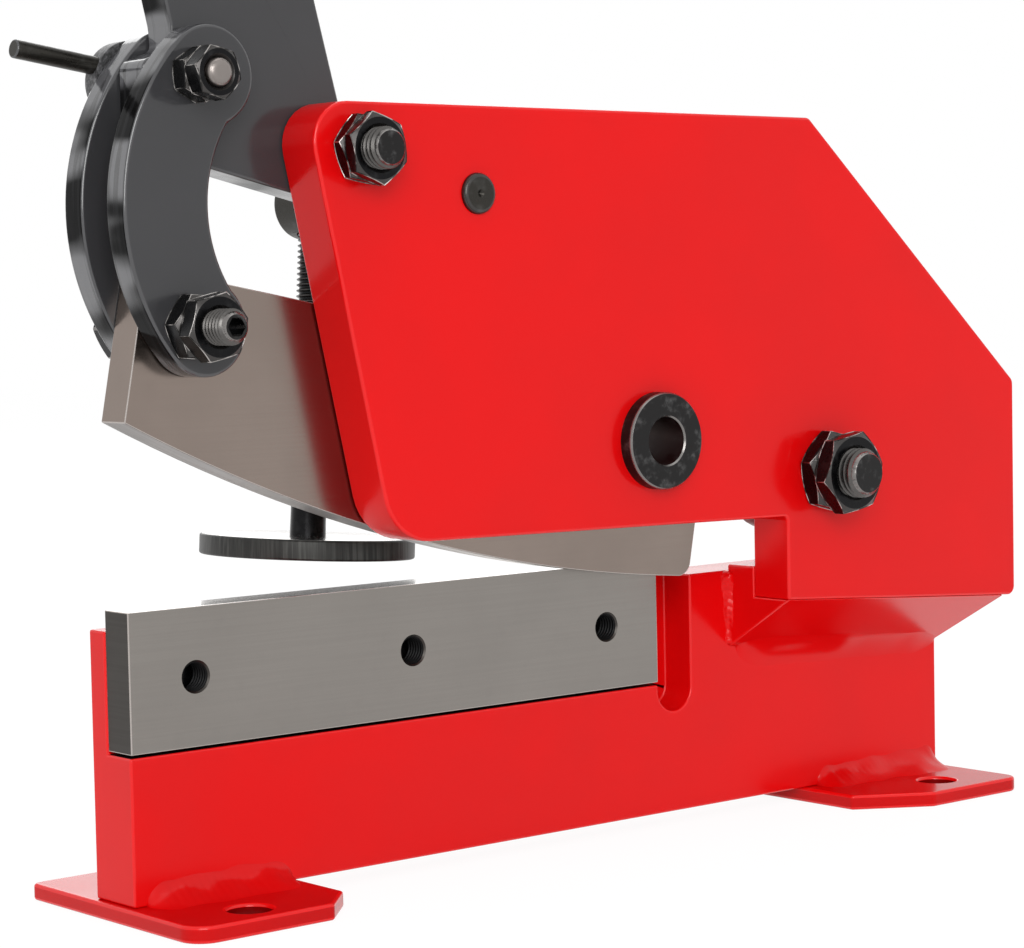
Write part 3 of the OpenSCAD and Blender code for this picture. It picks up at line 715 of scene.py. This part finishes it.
def hollowed(piece, mouth, bore, depth):
    """Countersinks a bore that opens towards the near side at a point."""
    only()
    bpy.ops.mesh.primitive_cone_add(
        vertices=64,
        radius1=bore - 0.1 * MM,
        radius2=bore + depth + 0.5 * MM,
        depth=depth + 0.6 * MM,
        location=mouth + Vector((0, (depth - 0.4 * MM) / 2, 0)),
        rotation=(math.radians(90), 0, 0),
    )
    cutter = bpy.context.object
    modified(piece, "BOOLEAN", operation="DIFFERENCE", solver="EXACT", object=cutter)
    only(cutter)
    bpy.ops.object.delete()


def weld_bead(name, start, end, first, second, legs, end_legs, hollow, lump, ripple, nose, seed):
    """One run of weld in the corner of two faces: a long ball pressed into shape ring by ring.
    first and second are the ways up the two faces, and legs how far it reaches up each, at its
    start and at its end. hollow under 1 dishes it, so that both toes run out on the faces. Lumps
    and ripples die away at the toes and over the nose at each end. All sizes are in millimetres."""
    only()
    bpy.ops.mesh.primitive_uv_sphere_add(segments=48, ring_count=110, radius=1.0)
    bead = bpy.context.object
    bead.name = name
    length = (end - start).length / MM
    pitch = bpy.context.scene.shear_sizes.ripple / MM
    proud = (first + second).normalized()
    # its toes wander along the faces, and its back lies inside the corner, out of sight
    wander, wander_mm = 0.14, 14
    lump_mm = 9
    sunk, buried = 0.12, 1.6
    for vertex in bead.data.vertices:
        x, y, z = vertex.co
        share = math.acos(max(-1.0, min(1.0, z))) / math.pi
        run = share * length
        near_end = min(1.0, min(run, length - run) / nose)
        taper = math.sqrt(max(0.0, 1.0 - (1.0 - near_end) ** 2))
        up, out = (a + (b - a) * share for a, b in zip(legs, end_legs))
        up *= taper * (1.0 + wander * field.noise(Vector((run / wander_mm, seed, 0.3))))
        out *= taper * (1.0 + wander * field.noise(Vector((run / wander_mm, seed, 5.7))))
        turn = math.atan2(y, x) / (math.pi * 2 / 3)
        if abs(turn) <= 1.0:
            across = (turn + 1.0) / 2
            angle = across * math.pi / 2
            power = 2.0 / hollow
            a, b = math.cos(angle) ** power * up, math.sin(angle) ** power * out
            middle = math.sin(across * math.pi)
            wave = abs(math.sin(math.pi * (run + 2.4 * (across - 0.5) ** 2 * 4) / pitch))
            height = ripple * (wave - 0.5)
            height += lump * field.noise(Vector((run / lump_mm, across * 2.0, seed)))
            height *= middle * taper
        else:
            back = (abs(turn) - 1.0) / 0.5
            depth = -buried * taper * back
            a = depth + (up * (1.0 - back) if turn < 0 else 0.0)
            b = depth + (out * (1.0 - back) if turn > 0 else 0.0)
            height = 0.0
        spot = start.lerp(end, share)
        spot += first * (a - sunk) * MM + second * (b - sunk) * MM + proud * height * MM
        vertex.co = spot
    closed_up(bead)
    shape = shape_of(bead)
    inside_out = shape.calc_volume(signed=True) < 0
    shape.free()
    if inside_out:
        edit(bead)
        bpy.ops.mesh.flip_normals()
        done_editing()
    only(bead)
    bpy.ops.object.shade_smooth()
    return bead


# Operators


class SHEAR_OT_stage(Operator):
    """White studio: pale floor, soft lamps and the camera of the photograph"""

    bl_idname = "shear.stage"
    bl_label = "Studio and camera"

    def execute(self, context):
        scene = context.scene
        scene.view_settings.view_transform = "Standard"
        self.make_world(scene)
        self.make_floor()
        self.make_lamps()
        self.make_camera(scene)
        return {"FINISHED"}

    @staticmethod
    def seen(tree):
        """1 for what the camera sees, straight or in gloss or glass, and 0 for other light."""
        rays = add(tree, "ShaderNodeLightPath").outputs
        fed = rays["Is Camera Ray"]
        for kind in ("Is Glossy Ray", "Is Transmission Ray"):
            links = {0: fed, 1: rays[kind]}
            fed = add(tree, "ShaderNodeMath", operation="MAXIMUM", links=links).outputs[0]
        return fed

    def make_world(self, scene):
        # its strength as light on the piece, and where it is seen
        light, sight = 0.60, 1.0
        world = bpy.data.worlds.new("White studio")
        scene.world = world
        world.use_nodes = True
        tree = world.node_tree
        tree.nodes.clear()
        strength = span(tree, self.seen(tree), 0.0, 1.0, light, sight)
        back = add(tree, "ShaderNodeBackground", {"Color": WHITE}, {"Strength": strength})
        add(tree, "ShaderNodeOutputWorld", links={"Surface": back.outputs[0]})

    def make_floor(self):
        # where it is seen the paper mostly glows, just past white, so that no horizon shows
        glow, glow_share = 1.06, 0.88
        only()
        bpy.ops.mesh.primitive_plane_add(size=9.0, location=(0, 0, 0))
        floor = bpy.context.object
        floor.name = "studio_floor"
        tree, place = new_material("White studio paper")
        fibre = noise(tree, place, 5, 2.0, 0.5)
        tone = mixed(tree, fibre, linear("#EFEFEF"), linear("#F4F4F4"))
        paper = add(tree, "ShaderNodeBsdfDiffuse", links={"Color": tone})
        white = add(tree, "ShaderNodeEmission", {"Color": WHITE, "Strength": glow})
        share = span(tree, self.seen(tree), 0.0, 1.0, 0.0, glow_share)
        links = {0: share, 1: paper.outputs[0], 2: white.outputs[0]}
        both = add(tree, "ShaderNodeMixShader", links=links)
        add(tree, "ShaderNodeOutputMaterial", links={"Surface": both.outputs[0]})
        with_finish(floor, "White studio paper")

    def make_lamps(self):
        target = Vector((0.0, 0.0, 0.12))
        # name, place and size in metres, power in watts
        lamps = (
            ("lamp_near", (-1.7, -2.2, 1.1), 1.6, 40.0),
            ("lamp_over", (0.3, -0.3, 2.6), 1.8, 7.0),
            ("lamp_far", (1.2, 2.2, 1.3), 1.8, 16.0),
        )
        for name, place, size, power in lamps:
            bpy.ops.object.light_add(type="AREA", location=place)
            lamp = bpy.context.object
            lamp.name = name
            lamp.data.size = size
            lamp.data.energy = power
            aim = target - Vector(place)
            lamp.rotation_euler = aim.to_track_quat("-Z", "Y").to_euler()

    def make_camera(self, scene):
        # solved from the photograph's straight edges
        focal_px, width_px, sensor_mm = 2807.494, 1024.0, 36.0
        place = (-0.581405, -0.670017, 0.172790)
        yaw, pitch, roll = -0.6975545, 0.0622666, -0.0200886
        bpy.ops.object.camera_add()
        camera = bpy.context.object
        camera.name = "camera"
        data = camera.data
        data.sensor_fit = "HORIZONTAL"
        data.sensor_width = sensor_mm
        data.lens = focal_px * sensor_mm / width_px
        data.clip_start = 0.02
        data.clip_end = 50.0
        data.dof.use_dof = False
        level = Vector((math.cos(yaw), math.sin(yaw), 0.0))
        ahead = Vector((-math.sin(yaw), math.cos(yaw), 0.0))
        view = ahead * math.cos(pitch) - Vector((0, 0, 1)) * math.sin(pitch)
        up = level.cross(view)
        right = level * math.cos(roll) + up * math.sin(roll)
        top = -level * math.sin(roll) + up * math.cos(roll)
        axes = Matrix((right, top, -view)).transposed().to_4x4()
        camera.matrix_world = Matrix.Translation(place) @ axes
        scene.camera = camera


class SHEAR_OT_frame(Operator):
    """Side plate, bed, feet and the block between them, with rounded painted edges"""

    bl_idname = "shear.frame"
    bl_label = "Painted frame"

    def execute(self, context):
        edge = context.scene.shear_sizes.plate_edge
        # bores that a bush or bolt fills keep their plain edge
        filled = near_axes(
            (PIVOT, 9), (LEVER_PIVOT, 7), (BAR_HOLE, 13), (HOLD_DOWN_BAR, 7), *blade_screws(6)
        )
        plate = ("Red gloss enamel", "Red enamel over an edge", "Black oxide bore")
        foot = ("Red enamel on a foot", "Red enamel over an edge", "Red enamel in a bolt hole")
        # node, name, share of the edge's radius, finishes, and where the third one goes
        plates = (
            ("side_plate", "side_plate_painted", 1.0, plate, None),
            ("bed_plate", "bed_painted", 0.8, plate, self.shaded_seat_under_blade),
            ("front_foot", "front_foot_painted", 1.1, foot, self.in_a_bolt_hole),
            ("rear_foot", "rear_foot_painted", 1.1, foot, self.in_a_bolt_hole),
            ("spacer_block", "block_painted", 0.8, plate, None),
        )
        for node, name, share, finishes, third in plates:
            piece = copied(node, name, *finishes)
            edged(piece, edge * share, 3, skip=filled)
            if third:
                paint_faces(piece, 2, third)
            rides(piece, "base_frame", "red_paint", node)
        return {"FINISHED"}

    @staticmethod
    def shaded_seat_under_blade(face):
        """A face of the seat under the lower blade, painted black as the shadow in the gap under
        the blade.
        """
        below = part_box("lower_blade")[0].z - face.center.z
        return face.normal.z > 0.9 and 0 < below < 2 * MM

    @staticmethod
    def in_a_bolt_hole(face):
        """A face of the wall of a foot's bolt hole, which is painted dark as shade."""
        radius = 6.55 * MM
        for x, y in FOOT_BOLTS:
            if math.hypot(face.center.x - x, face.center.y - y) < radius:
                return abs(face.normal.z) < 0.3
        return False


class SHEAR_OT_welds(Operator):
    """Weld beads at both feet, under the block and up its front, under the paint"""

    bl_idname = "shear.welds"
    bl_label = "Welds"

    def execute(self, context):
        up = Vector((0, 0, 1))
        near, far, front = Vector((0, -1, 0)), Vector((0, 1, 0)), Vector((-1, 0, 0))
        # the block's underside rises over its reach from the bed
        slope = math.atan(17.5 / 28.3)
        under = Vector((0, -math.cos(slope), math.sin(slope)))
        # name, start, end, ways up both faces, legs at start and end, hollow, lump, ripple, nose
        runs = (
            ("weld_front_near", at(3.5, 0, 5), at(54, 0, 5), up, near,
             (7, 11), (7.5, 11), 0.64, 1.2, 0.05, 9),
            ("weld_front_far", at(8, 20, 5), at(52, 20, 5), up, far,
             (8, 10), (8, 10), 0.70, 0.8, 0.06, 6),
            ("weld_rear_near", at(273, 0, 5), at(333.4, 0, 5), up, near,
             (6.5, 10), (8, 12), 0.68, 0.9, 0.04, 6),
            ("weld_rear_far", at(275, 20, 5), at(333, 20, 5), up, far,
             (8, 10), (8, 10), 0.70, 0.8, 0.06, 6),
            ("weld_block_under", at(235, 0, 56.3), at(333.9, 0, 49.7), -up, under,
             (9, 8), (5, 7), 0.60, 0.1, 0.0, 16),
            ("weld_block_upright", at(232, 0, 57.2), at(232, 0, 82), front, near,
             (2.2, 2.4), (3.2, 3.2), 0.85, 1.7, 0.25, 2.0),
        )
        for seed, run in enumerate(runs, 3):
            bead = weld_bead(*run, seed)
            on_block = "block" in bead.name
            # beads at the feet take the darker red, a painted shade
            with_finish(bead, "Red gloss enamel" if on_block else "Red enamel over a weld, painted shade")
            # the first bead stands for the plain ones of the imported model
            nodes = ("frame_welds",) if run is runs[0] else ()
            rides(bead, "base_frame", "red_paint", *nodes)
        return {"FINISHED"}


class SHEAR_OT_blades(Operator):
    """Both blades, ground all over, with broken edges and the holes of the lower one tapped"""

    bl_idname = "shear.blades"
    bl_label = "Blades"

    def execute(self, context):
        edge = context.scene.shear_sizes.blade_edge
        finishes = (
            "Ground tool steel",
            "Broken blade edge",
            "Ground cutting edge",
            "Sawn blade end",
            "Black oxide bore",
            "Bright ground face",
        )
        # in square metres
        side, strip = 1e-5, 2e-7
        mouth = near_axes(*blade_screws(5.6))
        wall = near_axes(*blade_screws(4.45))
        lower = copied("lower_blade", "lower_blade_ground", *finishes)
        edged(lower, edge, 2, skip=mouth)
        paint_faces(lower, 5, lambda f: f.normal.z > 0.9 and f.area > side)
        paint_faces(lower, 3, lambda f: f.normal.x < -0.9 and f.area > side)
        # the mouths of the tapped holes are painted dark, as shade
        paint_faces(lower, 3, lambda f: 0.3 < abs(f.normal.y) < 0.95 and mouth(f.center))
        paint_faces(lower, 4, lambda f: abs(f.normal.y) <= 0.3 and wall(f.center))
        for x, z in BLADE_SCREWS:
            self.tap(lower, at(x, 0.6, z))
        rides(lower, "base_frame", "blade_steel", "lower_blade")
        upper = copied("upper_blade", "moving_blade_ground", "Ground moving blade", *finishes[1:])
        edged(upper, edge, 2)
        paint_faces(upper, 2, lambda f: f.normal.z < -0.75 and f.area > strip)
        rides(upper, "moving_blade", "blade_steel", "upper_blade")
        return {"FINISHED"}

    @staticmethod
    def tap(blade, mouth):
        """Thread cut in a hole's wall, seen from the hole's mouth."""
        minor, major, pitch, length = 4.1, 4.6, 1.25, 9.5
        only()
        ridge = helix("tapped", minor, major, pitch, length)
        # an inner thread has its crest towards the axis and its root in the wall
        root, root_radius, steepness = 4.55, 3.85, 0.75
        for vertex in ridge.data.vertices:
            radius = math.hypot(vertex.co.x, vertex.co.y)
            wanted = root * MM - (radius - root_radius * MM) * steepness
            vertex.co.x *= wanted / radius
            vertex.co.y *= wanted / radius
        closed_up(ridge)
        placed(ridge, mouth, ALONG_Y)
        with_finish(ridge, "Black oxide bore")
        joined(blade, ridge)


class SHEAR_OT_linkage(Operator):
    """Both crescent links and the lever plate between them"""

    bl_idname = "shear.linkage"
    bl_label = "Links and lever"

    def execute(self, context):
        edge = context.scene.shear_sizes.link_edge
        rims = "Dark grey enamel pooled on a rim"
        bores = near_axes((UPPER_LINK, 5.5), (LOWER_LINK, 6.5), (LEVER_PIVOT, 7.5))
        plates = (
            ("near_link", "near_link_painted", "links", 1.0),
            ("far_link", "far_link_painted", "links", 1.0),
            ("lever_arm", "lever_painted", "lever", 0.8),
        )
        for node, name, body, share in plates:
            piece = copied(node, name, *GREY_PAINT, rims)
            edged(piece, edge * share, 3, skip=bores)
            # the rims get the streaks of painted reflection
            paint_faces(piece, 2, lambda f: abs(f.normal.y) < 0.3)
            rides(piece, body, "grey_paint", node)
        return {"FINISHED"}


class SHEAR_OT_pivots(Operator):
    """Pivot bolts with their threads, locked nut pairs, washer and the blade screws"""

    bl_idname = "shear.pivots"
    bl_label = "Bolts and nuts"

    def execute(self, context):
        sizes = context.scene.shear_sizes
        edge = sizes.fastener_edge
        dark = (*BLACK_OXIDE, "Thin black oxide")
        # node, body, axis, near end, size, pitch, radius of its chamfered end, length of thread
        bolts = (
            ("pivot_bolt", "base_frame", PIVOT, -46.7, 16, 2.0, 6.2, 14),
            ("lever_bolt", "base_frame", LEVER_PIVOT, -42.2, 12, 1.75, 4.7, 12),
            ("lower_link_bolt", "links", LOWER_LINK, -42.0, 10, 1.5, 3.4, 12),
        )
        for node, body, (x, z), near_end, size, pitch, end, run in bolts:
            start = at(x, near_end, z)
            tip = start.y + 2.6 * MM
            bolt = copied(node, node + "_turned", *dark, "Scuffed black oxide")
            edged(bolt, edge, 2, only_along=ALONG_Y)
            edged(bolt, edge * 0.9, 2, skip=lambda middle: middle.y > tip)
            paint_faces(bolt, 3, lambda f: f.normal.y < -0.95 and f.center.y < tip)
            # the chamfer at the tip is painted lighter, partly worn and partly a highlight
            paint_faces(bolt, 1, lambda f: 0.3 < -f.normal.y < 0.95 and f.center.y < tip)
            depth = sizes.thread_depth
            threaded(bolt, start, ALONG_Y, 0, run, size, pitch, end, depth, "Oiled thread with painted highlight")
            rides(bolt, body, "black_steel", node)
        upper = copied("upper_link_bolt", "upper_link_bolt_turned", "Bright turned steel")
        edged(upper, edge * 3.5, 4)
        rides(upper, "links", "bright_steel", "upper_link_bolt")
        # node, body, axis, radius of the bore
        nuts = (
            ("pivot_nuts", "base_frame", PIVOT, 8.0),
            ("lever_bolt_nuts", "base_frame", LEVER_PIVOT, 6.0),
            ("upper_link_nuts", "links", UPPER_LINK, 4.0),
            ("lower_link_nuts", "links", LOWER_LINK, 5.0),
        )
        for node, body, axis, bore in nuts:
            piece = copied(node, node + "_finished")
            mouth = at(axis[0], 0, axis[1])
            mouth.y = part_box(node)[0].y
            hollowed(piece, mouth, bore * MM, 1.0 * MM)
            with_finish(piece, *dark)
            # the chamfers take the lighter finish, a painted highlight
            paint_faces(piece, 2, lambda f: 0.3 < abs(f.normal.y) < 0.97)
            # a thin strip of painted highlight along the nuts' corners
            highlight_strips(piece, edge * 0.55, "Painted edge highlight", near_axes((axis, bore + 1.6)))
            rides(piece, body, "black_steel", node)
        for node, along in (("blade_screws", ALONG_Y), ("pivot_washer", None)):
            piece = copied(node, node + "_finished", *dark)
            edged(piece, edge, 2, only_along=along, smooth=20)
            rides(piece, "base_frame", "black_steel", node)
        return {"FINISHED"}


class SHEAR_OT_bush(Operator):
    """Bush for round bar, turned with a broken rim and scuffed by use"""

    bl_idname = "shear.bush"
    bl_label = "Bar bush"

    def execute(self, context):
        bore, outer, flange = 7.4, 12.0, 15.0
        length, flange_end = 20.8, 4.8
        # up the bore, down the outside, and round the flange to the mouth
        profile = (
            (bore, 0.5), (bore, length - 0.6), (bore + 0.6, length), (outer - 0.4, length),
            (outer, length - 0.4), (outer, flange_end), (flange, flange_end), (flange, 0.9),
            (flange - 0.15, 0.45), (flange - 0.5, 0.0), (flange - 0.8, 0.0), (bore + 0.45, 0.0),
            (bore, 0.5),
        )
        x, z = BAR_HOLE
        mouth = at(x, -33.1, z)
        bush = turned("bar_bush_turned", profile, 96)
        placed(bush, mouth, ALONG_Y)
        with_finish(bush, "Scuffed black oxide", "Dark red bore", "Rubbed black oxide")
        in_bore = near_axes((BAR_HOLE, bore + 0.02))

        def rim_highlight(face):
            return face.center.y - mouth.y < 0.8 * MM and 0.2 < abs(face.normal.y) < 0.98

        paint_faces(bush, 1, lambda f: in_bore(f.center))
        # the rim's chamfer is painted lighter, a highlight on its worn edge
        paint_faces(bush, 2, rim_highlight)
        rides(bush, "base_frame", "black_steel", "bar_bush")
        return {"FINISHED"}


class SHEAR_OT_hold_down(Operator):
    """Hold-down bar, its threaded screw and the round foot that keeps the sheet flat"""

    bl_idname = "shear.hold_down"
    bl_label = "Hold-down"

    def execute(self, context):
        sizes = context.scene.shear_sizes
        edge = sizes.fastener_edge
        lean = math.radians(3.85)
        up = Vector((math.sin(lean), 0.0, math.cos(lean)))
        x, z = HOLD_DOWN_BAR
        cross = at(x, 50.5, z)
        skin = ("Dark drawn steel", "Thin black oxide")
        bar = copied("hold_down_bar", "hold_down_bar_turned", *skin)
        centre_mark = near_axes((HOLD_DOWN_BAR, 1.6))
        edged(bar, edge * 1.6, 2, skip=centre_mark)
        rides(bar, "hold_down_arm", "dark_steel", "hold_down_bar")

        screw = copied("hold_down_screw", "hold_down_screw_cut", *BLACK_OXIDE)
        edged(screw, edge, 2, only_along=up)
        bottom = cross + up * (-103.6 * MM)
        first, last = 52.0, 126.9
        size, pitch, end = 11.7, 1.75, 6.0
        depth = sizes.thread_depth
        threaded(screw, bottom, up, first, last, size, pitch, end, depth, "Thin black oxide")
        rides(screw, "hold_down", "black_steel", "hold_down_screw")

        half, rim, round_off, boss = 3.2, 33.7, 0.8, 9.0
        profile = [(0.0, -half)]
        profile += rounded(rim - round_off, round_off - half, round_off, -90)
        profile += rounded(rim - round_off, half - round_off, round_off, 0)
        profile += [(boss, half), (0.0, half)]
        disc = turned("hold_down_foot_turned", profile, 120)
        placed(disc, cross + up * (-106.8 * MM), up)
        with_finish(disc, "Phosphated steel", "Bright ground face")
        paint_faces(disc, 1, lambda f: f.normal.dot(up) > 0.98)
        rides(disc, "hold_down", "dark_steel", "hold_down_foot")
        return {"FINISHED"}


class SHEAR_OT_clamp(Operator):
    """Cast collar on the upper link bolt and the plain rod that stands out of it"""

    bl_idname = "shear.clamp"
    bl_label = "Clamp"

    def execute(self, context):
        sizes = context.scene.shear_sizes
        collar = copied("clamp_collar", "clamp_collar_cast", "Painted cast iron")
        # only the rims of its two faces: the socket's mouth is filled by the rod
        low, high = (corner.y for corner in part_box("clamp_collar"))
        edged(
            collar,
            sizes.link_edge * 0.25,
            2,
            skip=lambda middle: low + 0.1 * MM < middle.y < high - 0.1 * MM,
        )
        rides(collar, "clamp", "cast_grey", "clamp_collar")
        rod = copied("clamp_rod", "clamp_rod_drawn", "Dark drawn steel", GREY_PAINT[1])
        edged(rod, sizes.fastener_edge * 1.5, 3)
        rides(rod, "clamp", "grey_paint", "clamp_rod")
        return {"FINISHED"}


class SHEAR_OT_handle(Operator):
    """Handle tube, its cross bolts with nuts, and the moulded grip"""

    bl_idname = "shear.handle"
    bl_label = "Handle"

    def execute(self, context):
        sizes = context.scene.shear_sizes
        tube = copied("handle_tube", "handle_tube_painted", *GREY_PAINT)
        edged(tube, sizes.link_edge * 0.5, 3)
        rides(tube, "lever", "grey_paint", "handle_tube")
        for node in ("handle_bolts", "handle_nuts"):
            piece = copied(node, node + "_finished", *BLACK_OXIDE)
            edged(piece, sizes.fastener_edge, 2, only_along=ALONG_Y)
            rides(piece, "lever", "black_steel", node)
        self.make_grip(sizes.grip_rings)
        return {"FINISHED"}

    def make_grip(self, rings):
        lean = math.radians(14.2)
        along = Vector((-math.sin(lean), 0.0, math.cos(lean)))
        length, outer, bore = 124.4, 20.5, 17.05
        bead, dome, wall = 2.0, 7.0, 5.95
        # the bead at the mouth, the shallow rings, the domed end and the bore
        profile = [
            (bore, 0.0), (outer + 1.6, 0.0), (outer + bead, 0.6),
            (outer + bead, 4.2), (outer + 1.4, 5.2), (outer, 8.0),
        ]
        first, last = 20.0, length - 22.0
        for i in range(rings):
            z = first + (last - first) * i / max(1, rings - 1)
            for up, sink in ((-2.2, 0.0), (-1.2, 0.7), (0.0, 0.9), (1.2, 0.7), (2.2, 0.0)):
                profile.append((outer - sink, z + up))
        profile += rounded(outer - dome, length - dome, dome, 0)
        profile += [(0.0, length), (0.0, length - wall), (bore, length - wall), (bore, 0.0)]
        grip = turned("hand_grip_moulded", profile, 72)
        placed(grip, at(-31.96, -6.1, 521.125), along)
        with_finish(grip, "Moulded rubber")
        smoothed(grip, 40)
        rides(grip, "lever", "black_grip", "hand_grip")


# Panel and registration

BUILDERS = (
    SHEAR_OT_stage,
    SHEAR_OT_frame,
    SHEAR_OT_welds,
    SHEAR_OT_blades,
    SHEAR_OT_linkage,
    SHEAR_OT_pivots,
    SHEAR_OT_bush,
    SHEAR_OT_hold_down,
    SHEAR_OT_clamp,
    SHEAR_OT_handle,
)


class SHEAR_PT_panel(Panel):
    """Sizes, colours and the steps that build the shear"""

    bl_label = "Lever shear"
    bl_idname = "SHEAR_PT_panel"
    bl_space_type = "VIEW_3D"
    bl_region_type = "UI"
    bl_category = "Lever shear"

    def draw(self, context):
        layout = self.layout
        for group in (context.scene.shear_sizes, context.scene.shear_colours):
            box = layout.box()
            for name in group.__annotations__:
                box.prop(group, name)
        for builder in BUILDERS:
            layout.operator(builder.bl_idname)


CLASSES = (SHEAR_PG_sizes, SHEAR_PG_colours) + BUILDERS + (SHEAR_PT_panel,)


def register():
    for cls in CLASSES:
        bpy.utils.register_class(cls)
    bpy.types.Scene.shear_sizes = PointerProperty(type=SHEAR_PG_sizes)
    bpy.types.Scene.shear_colours = PointerProperty(type=SHEAR_PG_colours)


def unregister():
    del bpy.types.Scene.shear_colours
    del bpy.types.Scene.shear_sizes
    for cls in reversed(CLASSES):
        bpy.utils.unregister_class(cls)


def main():
    register()
    make_materials(bpy.context.scene.shear_colours)
    bpy.ops.shear.stage()
    bpy.ops.shear.frame()
    bpy.ops.shear.welds()
    bpy.ops.shear.blades()
    bpy.ops.shear.linkage()
    bpy.ops.shear.pivots()
    bpy.ops.shear.bush()
    bpy.ops.shear.hold_down()
    bpy.ops.shear.clamp()
    bpy.ops.shear.handle()


if __name__ == "__main__":
    main()
